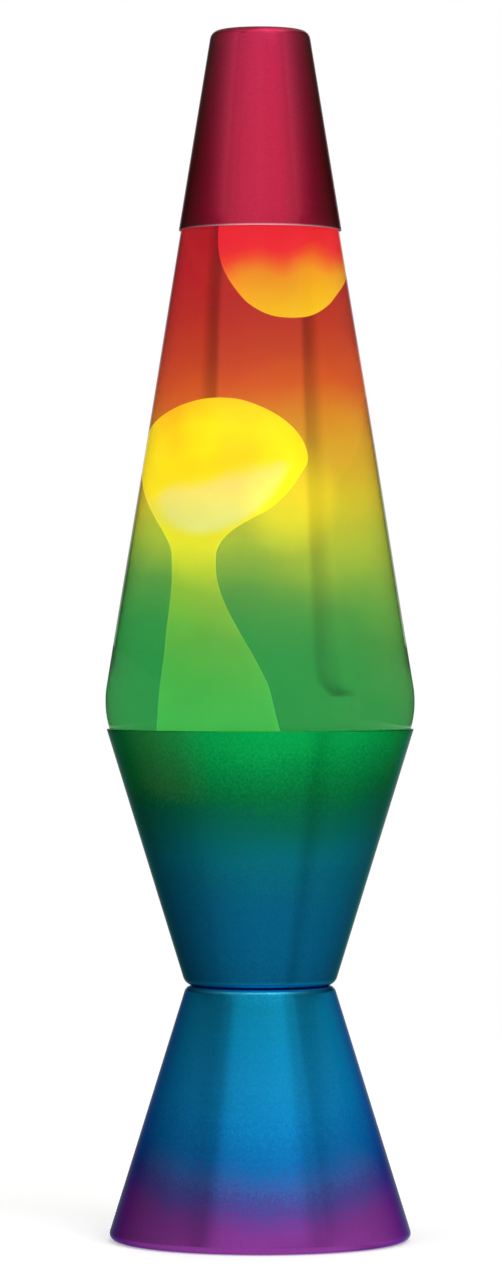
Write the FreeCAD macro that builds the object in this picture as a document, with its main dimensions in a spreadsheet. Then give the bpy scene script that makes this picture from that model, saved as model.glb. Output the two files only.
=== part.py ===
import FreeCAD, Part
import os
import re
import Sketcher
from FreeCAD import Placement, Rotation, Vector

# Liquid motion lamp: two spun aluminium cones joined at the waist, a lamp
# socket and bulb between them, a tapered glass globe of wax and liquid that
# stands in the upper cone, and a spun cap over the globe's closure.
# Millimetres, +Z up, origin on the floor on the lamp's axis, front towards -Y.

doc = FreeCAD.newDocument("LiquidMotionLamp")
sheet = doc.addObject("Spreadsheet::Sheet", "Sizes")

driving = [
    # Stand, the lower cone
    ("waist_height", "77.4"),
    ("foot_radius", "46.6"),
    ("stand_top_radius", "22.5"),
    ("sheet_wall", "0.6"),
    ("foot_round", "2.0"),
    ("waist_round", "2.5"),
    ("hem_width", "6.0"),
    # Holder, the upper cone
    ("rim_height", "155.5"),
    ("floor_step", "0.2"),
    ("holder_rim_radius", "46.8"),
    ("holder_round", "3.5"),
    # Bottom board and its felt
    ("board_thickness", "2.5"),
    ("board_gap", "0.8"),
    ("felt_thickness", "0.45"),
    ("felt_gap", "0.5"),
    # Cord inlet in the back of the stand
    ("inlet_height", "15.0"),
    ("inlet_bore_radius", "3.2"),
    ("grommet_radius", "5.4"),
    ("grommet_flange_radius", "7.2"),
    ("grommet_flange", "1.8"),
    ("grommet_lip_radius", "6.2"),
    ("grommet_lip", "2.2"),
    ("grommet_grip", "1.6"),
    ("grommet_round", "0.7"),
    ("fit_gap", "0.1"),
    # Socket bracket under the waist and the rivets that hold it
    ("flange_clearance", "2.2"),
    ("flange_edge", "0.3"),
    ("bracket_wall", "0.8"),
    ("bracket_bend", "1.0"),
    ("window_width", "18.0"),
    ("window_margin", "2.5"),
    ("rivet_radius", "1.4"),
    ("rivet_head_radius", "2.2"),
    ("rivet_head", "1.2"),
    ("rivet_head_gap", "0.2"),
    # Lamp socket on its threaded pipe
    ("socket_rise", "2.6"),
    ("socket_height", "31.0"),
    ("socket_clearance", "0.8"),
    ("socket_floor", "9.0"),
    ("socket_round", "1.2"),
    ("shell_wall", "0.4"),
    ("shell_drop", "1.0"),
    ("shell_flange_radius", "6.2"),
    ("pipe_radius", "4.8"),
    ("pipe_bore_radius", "3.4"),
    ("pipe_depth", "5.5"),
    ("pipe_tail", "2.0"),
    ("nut_across_flats", "14.0"),
    ("nut_thickness", "3.6"),
    ("washer_radius", "7.4"),
    ("washer_thickness", "0.9"),
    ("flat_depth", "1.8"),
    ("flat_width", "10.0"),
    ("flat_low", "1.4"),
    ("flat_tall", "6.8"),
    ("terminal_wall", "0.8"),
    ("screw_radius", "1.5"),
    ("screw_length", "4.0"),
    ("screw_head_radius", "2.6"),
    ("screw_head", "1.5"),
    ("screw_slot", "0.7"),
    # Sprung centre contact
    ("leaf_wall", "0.4"),
    ("leaf_width", "5.0"),
    ("leaf_reach", "4.8"),
    ("leaf_knee", "1.6"),
    ("leaf_tip", "2.2"),
    ("leaf_tip_drop", "0.6"),
    ("contact_height", "3.0"),
    ("contact_gap", "0.1"),
    # Bulb
    ("bulb_length", "58.0"),
    ("bulb_radius", "17.5"),
    ("bulb_crown_flat", "0.5"),
    ("bulb_belly_flat", "5.0"),
    ("bulb_belly_round", "12.0"),
    ("bulb_neck_radius", "7.7"),
    ("bulb_neck_round", "5.0"),
    ("bulb_glass", "0.6"),
    ("bulb_base_radius", "8.3"),
    ("bulb_base_wall", "0.3"),
    ("bulb_base_height", "15.5"),
    ("bulb_eyelet_radius", "3.4"),
    ("bulb_eyelet", "1.2"),
    ("bulb_insulator", "2.4"),
    ("thread_gap", "0.25"),
    ("stem_rim", "0.8"),
    ("stem_radius", "2.4"),
    ("stem_height", "22.0"),
    ("lead_radius", "0.35"),
    ("lead_spread", "1.4"),
    ("lead_rise", "15.0"),
    ("filament_half_span", "7.0"),
    ("filament_radius", "0.45"),
    # Globe bottle
    ("bulb_clearance", "6.4"),
    ("shoulder_rise", "6.3"),
    ("cone_top_radius", "20.74"),
    ("neck_taper", "10.0"),
    ("neck_length", "19.5"),
    ("glass_wall", "2.8"),
    ("seat_gap", "0.25"),
    ("punt_radius", "22.0"),
    ("punt_top_radius", "9.0"),
    ("punt_rise", "4.5"),
    ("punt_round", "12.0"),
    ("heel_round", "6.0"),
    ("inner_heel_round", "4.0"),
    ("shoulder_round", "30.0"),
    ("neck_round", "8.0"),
    ("lip_step", "0.9"),
    ("lip_height", "6.0"),
    ("lip_round", "0.8"),
    ("neck_wall", "3.9"),
    # Crown closure
    ("liner_thickness", "0.5"),
    ("crown_wall", "0.4"),
    ("crown_clearance", "1.6"),
    ("crown_height", "6.2"),
    ("crown_round", "1.2"),
    ("crown_flare", "0.7"),
    ("flute_count", "21"),
    ("flute_radius", "1.3"),
    ("flute_depth", "0.6"),
    ("flute_height", "4.6"),
    # Wax, liquid and the wire coil in the bottom
    ("fluid_gap", "0.25"),
    ("pool_depth", "16.5"),
    ("liquid_drop", "5.0"),
    ("coil_wall_gap", "3.3"),
    ("coil_wire_radius", "0.7"),
    ("coil_pitch", "1.8"),
    ("coil_turns", "3"),
    ("column_root_radius", "26.0"),
    ("column_root_shift", "7.0"),
    ("column_foot_rise", "16.2"),
    ("column_foot_radius", "13.7"),
    ("column_foot_shift", "9.3"),
    ("column_shank_radius", "8.7"),
    ("column_shank_shift", "12.3"),
    ("column_neck_drop", "31.0"),
    ("column_neck_radius", "4.9"),
    ("column_neck_shift", "14.7"),
    ("column_throat_drop", "13.0"),
    ("column_throat_radius", "9.0"),
    ("column_throat_shift", "13.0"),
    ("head_drop", "63.0"),
    ("head_half_width", "19.0"),
    ("head_half_height", "19.4"),
    ("head_wall_gap", "4.9"),
    ("blob_depth", "23.0"),
    ("blob_half_width", "15.3"),
    ("blob_half_height", "18.5"),
    ("blob_wall_gap", "1.8"),
    # Cap
    ("total_height", "368.3"),
    ("cap_length", "61.0"),
    ("cap_headroom", "10.8"),
    ("cap_wall", "0.5"),
    ("cap_gap", "0.2"),
    ("cap_round", "3.0"),
]

# Slopes of the tapered walls, as radius per height, and each wall's
# thickness measured level
stand_lean = "((foot_radius - stand_top_radius) / waist_height)"
stand_skin = f"(sheet_wall * sqrt(1 + {stand_lean}^2))"
holder_lean = "((holder_rim_radius - holder_floor_radius) / (rim_height - waist_height))"
holder_secant = f"sqrt(1 + {holder_lean}^2)"
holder_skin = f"(sheet_wall * {holder_secant})"


def seat_radius(height):
    # Outside of the globe where it stands in the holder
    rim = f"holder_rim_radius - (sheet_wall + seat_gap) * {holder_secant}"
    return f"({rim} + {holder_lean} * ({height} - rim_height))"


shoulder_radius = seat_radius("shoulder_height")
globe_lean = f"(({shoulder_radius} - cone_top_radius) / (cone_top_height - shoulder_height))"
globe_secant = f"sqrt(1 + {globe_lean}^2)"


def globe_radius(height):
    # Outside of the globe's long upper taper
    return f"({shoulder_radius} - {globe_lean} * ({height} - shoulder_height))"


# Levels that several pieces share, and the glass wall measured level
roof = "(waist_height - sheet_wall)"
holder_floor = "(waist_height + sheet_wall)"
socket_seat = "(waist_height + socket_rise - socket_height)"
socket_top = "(waist_height + socket_rise)"
socket_bed = f"({socket_seat} + socket_floor)"
bulb_tip = f"({socket_bed} + contact_height + contact_gap)"
bulb_top = f"({bulb_tip} + bulb_length)"
inner_bottom = "(globe_bottom + glass_wall)"
crown_top = "(globe_top + liner_thickness + crown_wall)"
seat_wall = f"(glass_wall * {holder_secant})"
taper_wall = f"(glass_wall * {globe_secant})"
coil_reach = f"({seat_radius(inner_bottom)} - {seat_wall} - coil_wall_gap)"
crown_room = f"({globe_radius(crown_top)} + cap_gap * {globe_secant} - crown_clearance)"

# Sizes that follow from the ones above and a named clearance
following = [
    ("holder_floor_radius", "stand_top_radius + floor_step"),
    ("bracket_flange_radius", "stand_top_radius - flange_clearance"),
    ("rivet_circle_radius", "bracket_flange_radius - flange_edge - rivet_head_radius"),
    (
        "socket_hole_radius",
        "rivet_circle_radius - rivet_head_radius - rivet_head_gap - bracket_bend - bracket_wall",
    ),
    ("socket_radius", "socket_hole_radius - socket_clearance"),
    ("bulb_crown_round", "bulb_radius - bulb_crown_flat"),
    ("bulb_crown_height", "bulb_crown_round + bulb_belly_flat"),
    ("globe_bottom", f"{bulb_top} + bulb_clearance"),
    ("shoulder_height", "rim_height + shoulder_rise"),
    ("globe_top", "total_height - cap_headroom"),
    ("neck_height", "globe_top - neck_length"),
    ("cone_top_height", "neck_height - neck_taper"),
    ("cap_rim_height", "total_height - cap_length"),
    ("lip_radius", f"{crown_room} - flute_depth - crown_wall - fit_gap"),
    ("neck_radius", "lip_radius - lip_step"),
    ("mouth_radius", "neck_radius - neck_wall"),
    ("pool_top", "globe_bottom + pool_depth"),
    ("liquid_level", "cone_top_height - liquid_drop"),
    ("coil_radius", f"{coil_reach} - coil_wire_radius - coil_turns * coil_pitch"),
    ("blob_height", "liquid_level - blob_depth"),
    (
        "blob_shift",
        f"{globe_radius('blob_height')} - {taper_wall} - blob_wall_gap - blob_half_width",
    ),
    ("head_height", "blob_height - head_drop"),
    (
        "head_shift",
        f"{globe_radius('head_height')} - {taper_wall} - head_wall_gap - head_half_width",
    ),
    ("column_foot_height", "pool_top + column_foot_rise"),
    ("column_neck_height", "head_height - column_neck_drop"),
    ("column_shank_height", "(column_foot_height + column_neck_height) / 2"),
]

sizes = driving + [(alias, f"={text}") for alias, text in following]
for row, (alias, text) in enumerate(sizes, start=1):
    sheet.set(f"A{row}", alias)
    sheet.setAlias(f"B{row}", alias)
for row, (alias, text) in enumerate(sizes, start=1):
    sheet.set(f"B{row}", text)
doc.recompute()

aliases = {alias for alias, text in sizes}
subparts = []


def link(text):
    # An expression on the sheet's cells, from one written with bare names
    return re.sub(r"[a-z_]+", lambda word: f"Sizes.{word[0]}" if word[0] in aliases else word[0], text)


def value(text):
    return float(sheet.evalExpression(link(text)))


def bind(item, **sizes):
    for name, text in sizes.items():
        item.setExpression(name, link(text))


def place(item, x="0", y="0", z="0"):
    for axis, text in (("x", x), ("y", y), ("z", z)):
        item.setExpression(f"Placement.Base.{axis}", link(text))


def new_body(label):
    body = doc.addObject("PartDesign::Body", label)
    body.Label = label
    return body


def keep(item, label):
    item.Label = label
    subparts.append(item)
    return item


def origin_plane(body, role):
    return next(item for item in body.Origin.OriginFeatures if item.Role == role)


def new_sketch(body, name, role):
    sketch = body.newObject("Sketcher::SketchObject", name)
    sketch.AttachmentSupport = (origin_plane(body, role), [""])
    sketch.MapMode = "FlatFace"
    return sketch


def pin(sketch, item, point, across, up):
    # Fix a sketch point at a pair of expressions measured from the origin
    for kind, axis, text in (("DistanceX", -2, across), ("DistanceY", -1, up)):
        if text == "0":
            sketch.addConstraint(Sketcher.Constraint("PointOnObject", item, point, axis))
        else:
            rule = Sketcher.Constraint(kind, -1, 1, item, point, value(text))
            index = sketch.addConstraint(rule)
            sketch.setExpression(f"Constraints[{index}]", link(text))


def outline(body, name, corners, role="XZ_Plane"):
    # A closed outline of straight sides through corners given as expressions
    sketch = new_sketch(body, name, role)
    points = [Vector(value(across), value(up), 0) for across, up in corners]
    following = points[1:] + points[:1]
    sketch.addGeometry([Part.LineSegment(a, b) for a, b in zip(points, following)])
    for side in range(len(points)):
        after = (side + 1) % len(points)
        sketch.addConstraint(Sketcher.Constraint("Coincident", side, 2, after, 1))
    for side, (across, up) in enumerate(corners):
        pin(sketch, side, 1, across, up)
    return sketch


def disc(body, name, radius, across="0", up="0", role="XY_Plane"):
    sketch = new_sketch(body, name, role)
    centre = Vector(value(across), value(up), 0)
    sketch.addGeometry(Part.Circle(centre, Vector(0, 0, 1), value(radius)))
    pin(sketch, 0, 3, across, up)
    index = sketch.addConstraint(Sketcher.Constraint("Radius", 0, value(radius)))
    sketch.setExpression(f"Constraints[{index}]", link(radius))
    return sketch


def ring_edge(shape, radius, height):
    # The name of the circular edge of that radius at that height
    for number, edge in enumerate(shape.Edges, start=1):
        curve = edge.Curve
        if isinstance(curve, Part.Circle):
            if abs(curve.Radius - radius) < 1e-4 and abs(curve.Center.z - height) < 1e-4:
                return f"Edge{number}"
    raise ValueError(f"no edge of radius {radius} at {height}")


def turn(body, corners, rounds=()):
    # Revolve an outline about Z, then round the named corners of it
    sketch = outline(body, f"{body.Name}_outline", corners)
    form = body.newObject("PartDesign::Revolution", f"{body.Name}_turned")
    form.Profile = sketch
    form.ReferenceAxis = (sketch, ["V_Axis"])
    form.Angle = 360
    doc.recompute()
    for numbers, radius in rounds:
        edges = [ring_edge(form.Shape, *map(value, corners[number])) for number in numbers]
        rounded = body.newObject("PartDesign::Fillet", f"{body.Name}_round")
        rounded.Base = (form, edges)
        bind(rounded, Radius=radius)
        doc.recompute()
        form = rounded
    return body


def turned(label, corners, rounds=()):
    return keep(turn(new_body(label), corners, rounds), label)


def cut(body, feature):
    # Recompute after a cutting feature and make sure that it removed material
    before = feature.BaseFeature.Shape.Volume
    doc.recompute()
    if not feature.Shape.Volume < before - 1e-6:
        raise ValueError(f"{feature.Name} cuts nothing")
    body.Tip = feature
    return feature


def drill(body, name, radius, across, up):
    pocket = body.newObject("PartDesign::Pocket", name)
    pocket.Profile = disc(body, f"{name}_circle", radius, across, up)
    pocket.Type = "ThroughAll"
    pocket.Reversed = True
    return cut(body, pocket)


def rivet_holes(body):
    name = f"{body.Name}_rivet_hole"
    hole = drill(body, name, "rivet_radius + fit_gap", "rivet_circle_radius", "0")
    pattern = body.newObject("PartDesign::PolarPattern", f"{name}s")
    pattern.Originals = [hole]
    pattern.Axis = (hole.Profile[0], ["N_Axis"])
    pattern.Angle = 360
    pattern.Occurrences = 3
    body.Tip = pattern
    doc.recompute()


def group(label, items):
    compound = doc.addObject("Part::Compound", label)
    compound.Links = items
    return keep(compound, label)


def wall_frame(depth):
    # A point on the axis of the cord inlet, that far inside the back wall
    tilt = f"atan({stand_lean})"
    y = f"foot_radius - {stand_lean} * inlet_height - ({depth}) * cos({tilt})"
    z = f"inlet_height - ({depth}) * sin({tilt})"
    return y, z, f"90 deg - {tilt}"


# Stand: spun cone with an inward foot hem, a flat top, and the inlet hole
stand = turned(
    "stand_cone",
    [
        ("foot_radius - hem_width", "0"),
        ("foot_radius", "0"),
        ("stand_top_radius", "waist_height"),
        ("socket_hole_radius", "waist_height"),
        ("socket_hole_radius", roof),
        (f"stand_top_radius + {stand_lean} * sheet_wall - {stand_skin}", roof),
        (f"foot_radius - {stand_lean} * sheet_wall - {stand_skin}", "sheet_wall"),
        ("foot_radius - hem_width", "sheet_wall"),
    ],
    [
        ([1], "foot_round"),
        ([2], "waist_round"),
        ([5], "waist_round - sheet_wall"),
        ([6], "foot_round - sheet_wall"),
    ],
)
inlet = stand.newObject("PartDesign::SubtractiveCylinder", "inlet_hole")
inlet.Placement = Placement(Vector(), Rotation(Vector(-1, 0, 0), 70))
inlet_y, inlet_z, inlet_tilt = wall_frame("grommet_radius")
bind(inlet, Radius="grommet_radius + fit_gap", Height="2 * grommet_radius")
place(inlet, "0", inlet_y, inlet_z)
inlet.setExpression("Placement.Rotation.Angle", link(inlet_tilt))
cut(stand, inlet)
rivet_holes(stand)

# Holder: spun cone that stands on the stand's flat top
holder = turned(
    "holder_cone",
    [
        ("socket_hole_radius", "waist_height"),
        ("holder_floor_radius", "waist_height"),
        ("holder_rim_radius", "rim_height"),
        (f"holder_rim_radius - {holder_skin}", "rim_height"),
        (f"holder_floor_radius + {holder_lean} * sheet_wall - {holder_skin}", holder_floor),
        ("socket_hole_radius", holder_floor),
    ],
    [
        ([1], "holder_round"),
        ([4], "holder_round - sheet_wall"),
        ([2, 3], "0.35 * sheet_wall"),
    ],
)
rivet_holes(holder)

# Bottom board, held above the hem, and the felt under it
board_radius = (
    f"foot_radius - {stand_lean} * (sheet_wall + board_thickness) - {stand_skin} - board_gap"
)
turned(
    "bottom_board",
    [
        ("0", "sheet_wall"),
        (board_radius, "sheet_wall"),
        (board_radius, "sheet_wall + board_thickness"),
        ("0", "sheet_wall + board_thickness"),
    ],
    [([1, 2], "0.2 * board_thickness")],
)
turned(
    "felt_pad",
    [
        ("0", "sheet_wall - felt_thickness"),
        ("foot_radius - hem_width - felt_gap", "sheet_wall - felt_thickness"),
        ("foot_radius - hem_width - felt_gap", "sheet_wall"),
        ("0", "sheet_wall"),
    ],
)

# Grommet of the cord inlet, turned about its own axis and set square to the wall
grommet = turned(
    "cord_grommet",
    [
        ("inlet_bore_radius", "-sheet_wall - grommet_grip - grommet_lip"),
        ("grommet_radius", "-sheet_wall - grommet_grip - grommet_lip"),
        ("grommet_lip_radius", "-sheet_wall - grommet_grip"),
        ("grommet_radius", "-sheet_wall - grommet_grip"),
        ("grommet_radius", "fit_gap"),
        ("grommet_flange_radius", "fit_gap"),
        ("grommet_flange_radius", "fit_gap + grommet_flange"),
        ("inlet_bore_radius", "fit_gap + grommet_flange"),
    ],
    [([6], "grommet_round"), ([7], "grommet_round")],
)
grommet.Placement = Placement(Vector(), Rotation(Vector(-1, 0, 0), 70))
grommet_y, grommet_z, grommet_tilt = wall_frame("0")
place(grommet, "0", grommet_y, grommet_z)
grommet.setExpression("Placement.Rotation.Angle", link(grommet_tilt))

# Socket bracket: a flanged cup cut away front and back to two straps
bracket = turned(
    "socket_bracket",
    [
        ("pipe_radius + fit_gap", f"{socket_seat} - bracket_wall"),
        ("socket_hole_radius + bracket_wall", f"{socket_seat} - bracket_wall"),
        ("socket_hole_radius + bracket_wall", f"{roof} - bracket_wall"),
        ("bracket_flange_radius", f"{roof} - bracket_wall"),
        ("bracket_flange_radius", roof),
        ("socket_hole_radius", roof),
        ("socket_hole_radius", socket_seat),
        ("pipe_radius + fit_gap", socket_seat),
    ],
    [
        ([1], "bracket_bend + bracket_wall"),
        ([6], "bracket_bend"),
        ([2], "bracket_bend"),
        ([5], "bracket_bend + bracket_wall"),
    ],
)
window = bracket.newObject("PartDesign::Pocket", "strap_windows")
window.Profile = outline(
    bracket,
    "strap_window",
    [
        ("-window_width / 2", f"{socket_seat} + window_margin"),
        ("window_width / 2", f"{socket_seat} + window_margin"),
        ("window_width / 2", f"{roof} - bracket_wall - window_margin"),
        ("-window_width / 2", f"{roof} - bracket_wall - window_margin"),
    ],
)
window.Type = "ThroughAll"
window.SideType = "Symmetric"
cut(bracket, window)
rivet_holes(bracket)

# Rivets through the holder's floor, the stand's top and the bracket's flange
rivets = []
for number, turn_angle in enumerate((0, 120, 240), start=1):
    rivet = turn(
        new_body(f"rivet_{number}"),
        [
            ("0", f"{roof} - bracket_wall - rivet_head"),
            ("rivet_head_radius", f"{roof} - bracket_wall - rivet_head"),
            ("rivet_head_radius", f"{roof} - bracket_wall"),
            ("rivet_radius", f"{roof} - bracket_wall"),
            ("rivet_radius", holder_floor),
            ("rivet_head_radius", holder_floor),
            ("rivet_head_radius", f"{holder_floor} + rivet_head"),
            ("0", f"{holder_floor} + rivet_head"),
        ],
        [([1, 6], "0.8 * rivet_head")],
    )
    place(rivet, f"rivet_circle_radius * cos({turn_angle})", f"rivet_circle_radius * sin({turn_angle})")
    rivets.append(rivet)
group("bracket_rivets", rivets)

# Lamp socket: moulded body with a pipe hole below and a flat for each terminal
socket = turned(
    "socket_body",
    [
        ("pipe_radius + fit_gap", socket_seat),
        ("socket_radius", socket_seat),
        ("socket_radius", socket_top),
        ("bulb_base_radius + thread_gap + shell_wall + fit_gap", socket_top),
        ("bulb_base_radius + thread_gap + shell_wall + fit_gap", socket_bed),
        ("0", socket_bed),
        ("0", f"{socket_seat} + pipe_depth"),
        ("pipe_radius + fit_gap", f"{socket_seat} + pipe_depth"),
    ],
    [([1, 2], "socket_round"), ([3], "socket_round")],
)
flat_reach = "(socket_radius - flat_depth)"
terminal_height = f"({socket_seat} + flat_low + flat_tall / 2)"
for side, name in ((-1, "front"), (1, "back")):
    flat = socket.newObject("PartDesign::SubtractiveBox", f"terminal_flat_{name}")
    bind(flat, Length="flat_width", Width="2 * flat_depth", Height="flat_tall")
    near = flat_reach if side > 0 else f"-{flat_reach} - 2 * flat_depth"
    place(flat, "-flat_width / 2", near, f"{socket_seat} + flat_low")
    cut(socket, flat)
    bore = socket.newObject("PartDesign::SubtractiveCylinder", f"terminal_bore_{name}")
    bore.Placement = Placement(Vector(), Rotation(Vector(1, 0, 0), 90 * side))
    bind(bore, Radius="screw_radius + fit_gap", Height="screw_length - terminal_wall + fit_gap")
    place(bore, "0", flat_reach if side > 0 else f"-{flat_reach}", terminal_height)
    cut(socket, bore)

# Brass screw shell of the socket, with its inward flange on the socket's bed
shell_bore = "bulb_base_radius + thread_gap"
turned(
    "socket_shell",
    [
        ("shell_flange_radius", socket_bed),
        (f"{shell_bore} + shell_wall", socket_bed),
        (f"{shell_bore} + shell_wall", f"{socket_top} - shell_drop"),
        (shell_bore, f"{socket_top} - shell_drop"),
        (shell_bore, f"{socket_bed} + shell_wall"),
        ("shell_flange_radius", f"{socket_bed} + shell_wall"),
    ],
)

# Terminals: a plate on each flat and the screw through it
plates = []
screws = []
for side, name in ((-1, "front"), (1, "back")):
    plate = new_body(f"terminal_plate_{name}")
    face = outline(
        plate,
        f"plate_{name}",
        [
            ("-flat_width / 2 + fit_gap", f"{socket_seat} + flat_low + fit_gap"),
            ("flat_width / 2 - fit_gap", f"{socket_seat} + flat_low + fit_gap"),
            ("flat_width / 2 - fit_gap", f"{socket_seat} + flat_low + flat_tall - fit_gap"),
            ("-flat_width / 2 + fit_gap", f"{socket_seat} + flat_low + flat_tall - fit_gap"),
        ],
    )
    pad = plate.newObject("PartDesign::Pad", f"plate_{name}_pad")
    pad.Profile = face
    bind(pad, Length="terminal_wall")
    doc.recompute()
    bore = plate.newObject("PartDesign::SubtractiveCylinder", f"plate_{name}_bore")
    bore.Placement = Placement(Vector(), Rotation(Vector(1, 0, 0), 90))
    bind(bore, Radius="screw_radius + fit_gap", Height="4 * terminal_wall")
    place(bore, "0", "2 * terminal_wall", terminal_height)
    cut(plate, bore)
    place(plate, "0", f"{flat_reach} + terminal_wall" if side > 0 else f"-{flat_reach}")
    plates.append(plate)

    screw = turn(
        new_body(f"terminal_screw_{name}"),
        [
            ("0", "-screw_length"),
            ("screw_radius", "-screw_length"),
            ("screw_radius", "0"),
            ("screw_head_radius", "0"),
            ("screw_head_radius", "screw_head"),
            ("0", "screw_head"),
        ],
        [([4], "0.6 * screw_head")],
    )
    slot = screw.newObject("PartDesign::SubtractiveBox", f"screw_slot_{name}")
    bind(slot, Length="3 * screw_head_radius", Width="screw_slot", Height="screw_head")
    place(slot, "-1.5 * screw_head_radius", "-screw_slot / 2", "screw_head / 2")
    cut(screw, slot)
    screw.Placement = Placement(Vector(), Rotation(Vector(1, 0, 0), -90 * side))
    reach = f"{flat_reach} + terminal_wall"
    place(screw, "0", reach if side > 0 else f"-({reach})", terminal_height)
    screws.append(screw)
group("terminal_plates", plates)
group("terminal_screws", screws)

# Threaded pipe that holds the socket to the bracket, with washer and nut
washer_top = f"({socket_seat} - bracket_wall)"
nut_top = f"({washer_top} - washer_thickness)"
turned(
    "socket_pipe",
    [
        ("pipe_bore_radius", f"{nut_top} - nut_thickness - pipe_tail"),
        ("pipe_radius", f"{nut_top} - nut_thickness - pipe_tail"),
        ("pipe_radius", f"{socket_seat} + pipe_depth - fit_gap"),
        ("pipe_bore_radius", f"{socket_seat} + pipe_depth - fit_gap"),
    ],
)
turned(
    "pipe_washer",
    [
        ("pipe_radius + fit_gap", nut_top),
        ("washer_radius", nut_top),
        ("washer_radius", washer_top),
        ("pipe_radius + fit_gap", washer_top),
    ],
)
nut = new_body("pipe_nut")
nut_radius = "(nut_across_flats / 2 / cos(30))"
hexagon = outline(
    nut,
    "nut_hexagon",
    [(f"{nut_radius} * cos({angle})", f"{nut_radius} * sin({angle})") for angle in range(30, 390, 60)],
    "XY_Plane",
)
pad = nut.newObject("PartDesign::Pad", "nut_pad")
pad.Profile = hexagon
bind(pad, Length="nut_thickness")
doc.recompute()
drill(nut, "nut_bore", "pipe_radius + fit_gap", "0", "0")
place(nut, "0", "0", f"{nut_top} - nut_thickness")
keep(nut, "pipe_nut")

# Sprung centre contact: a folded bronze leaf on the socket's bed
contact = new_body("centre_contact")
leaf = outline(
    contact,
    "leaf_outline",
    [
        ("leaf_reach - leaf_wall", socket_bed),
        ("leaf_reach - leaf_wall", f"{socket_bed} + leaf_wall"),
        ("-leaf_reach + leaf_wall", f"{socket_bed} + leaf_wall"),
        ("-leaf_reach + leaf_wall", f"{socket_bed} + leaf_knee"),
        ("0", f"{socket_bed} + contact_height - leaf_wall"),
        ("leaf_tip", f"{socket_bed} + contact_height - leaf_wall - leaf_tip_drop"),
        ("leaf_tip", f"{socket_bed} + contact_height - leaf_tip_drop"),
        ("0", f"{socket_bed} + contact_height"),
        ("-leaf_reach", f"{socket_bed} + leaf_knee + leaf_wall"),
        ("-leaf_reach", socket_bed),
    ],
)
pad = contact.newObject("PartDesign::Pad", "leaf_pad")
pad.Profile = leaf
pad.SideType = "Symmetric"
bind(pad, Length="leaf_width")
keep(contact, "centre_contact")

# Bulb: screw base with its eyelet and insulator, pear-shaped envelope,
# stem, leads and filament
insulator_low = f"({bulb_tip} + bulb_eyelet)"
base_low = f"({insulator_low} + bulb_insulator)"
base_top = f"({base_low} + bulb_base_height)"
turned(
    "bulb_eyelet",
    [
        ("0", bulb_tip),
        ("bulb_eyelet_radius", bulb_tip),
        ("bulb_eyelet_radius", insulator_low),
        ("0", insulator_low),
    ],
    [([1], "0.9 * bulb_eyelet")],
)
turned(
    "bulb_insulator",
    [
        ("0", insulator_low),
        ("bulb_eyelet_radius", insulator_low),
        ("bulb_base_radius - bulb_base_wall", base_low),
        ("0", base_low),
    ],
)
turned(
    "bulb_base",
    [
        ("bulb_eyelet_radius", base_low),
        ("bulb_base_radius", base_low),
        ("bulb_base_radius", base_top),
        ("bulb_base_radius - bulb_base_wall", base_top),
        ("bulb_base_radius - bulb_base_wall", f"{base_low} + bulb_base_wall"),
        ("bulb_eyelet_radius", f"{base_low} + bulb_base_wall"),
    ],
)
neck_low = f"({base_low} + bulb_base_wall + fit_gap)"
belly = f"({bulb_top} - bulb_crown_height)"
turned(
    "bulb_envelope",
    [
        ("bulb_neck_radius - bulb_glass", neck_low),
        ("bulb_neck_radius", neck_low),
        ("bulb_neck_radius", base_top),
        ("bulb_radius", belly),
        ("bulb_radius", bulb_top),
        ("0", bulb_top),
        ("0", f"{bulb_top} - bulb_glass"),
        ("bulb_radius - bulb_glass", f"{bulb_top} - bulb_glass"),
        ("bulb_radius - bulb_glass", belly),
        ("bulb_neck_radius - bulb_glass", base_top),
    ],
    [
        ([4], "bulb_crown_round"),
        ([7], "bulb_crown_round - bulb_glass"),
        ([3], "bulb_belly_round"),
        ([8], "bulb_belly_round - bulb_glass"),
        ([2, 9], "bulb_neck_round"),
    ],
)
stem_top = f"({neck_low} + stem_height)"
turned(
    "bulb_stem",
    [
        ("0", neck_low),
        ("bulb_neck_radius - bulb_glass - fit_gap", neck_low),
        ("bulb_neck_radius - bulb_glass - fit_gap", f"{neck_low} + stem_rim"),
        ("stem_radius", f"{neck_low} + stem_height / 2"),
        ("stem_radius", stem_top),
        ("0", stem_top),
    ],
    [([4], "0.8 * stem_radius")],
)
leads = []
lead_tilt = "atan((filament_half_span - lead_spread) / lead_rise)"
for side in (-1, 1):
    lead = doc.addObject("Part::Cylinder", "bulb_lead")
    lead.Placement = Placement(Vector(), Rotation(Vector(0, side, 0), 10))
    bind(lead, Radius="lead_radius", Height=f"lead_rise / cos({lead_tilt})")
    place(lead, f"{side} * lead_spread", "0", f"{stem_top} + lead_radius * sin({lead_tilt})")
    lead.setExpression("Placement.Rotation.Angle", link(lead_tilt))
    leads.append(lead)
group("bulb_leads", leads)
filament = doc.addObject("Part::Cylinder", "filament")
filament.Placement = Placement(Vector(), Rotation(Vector(0, 1, 0), 90))
bind(filament, Radius="filament_radius", Height="2 * filament_half_span + 2 * lead_radius")
place(
    filament,
    "-filament_half_span - lead_radius",
    "0",
    f"{stem_top} + lead_rise + 2 * lead_radius * sin({lead_tilt}) + fit_gap + filament_radius",
)
keep(filament, "filament")

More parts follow.
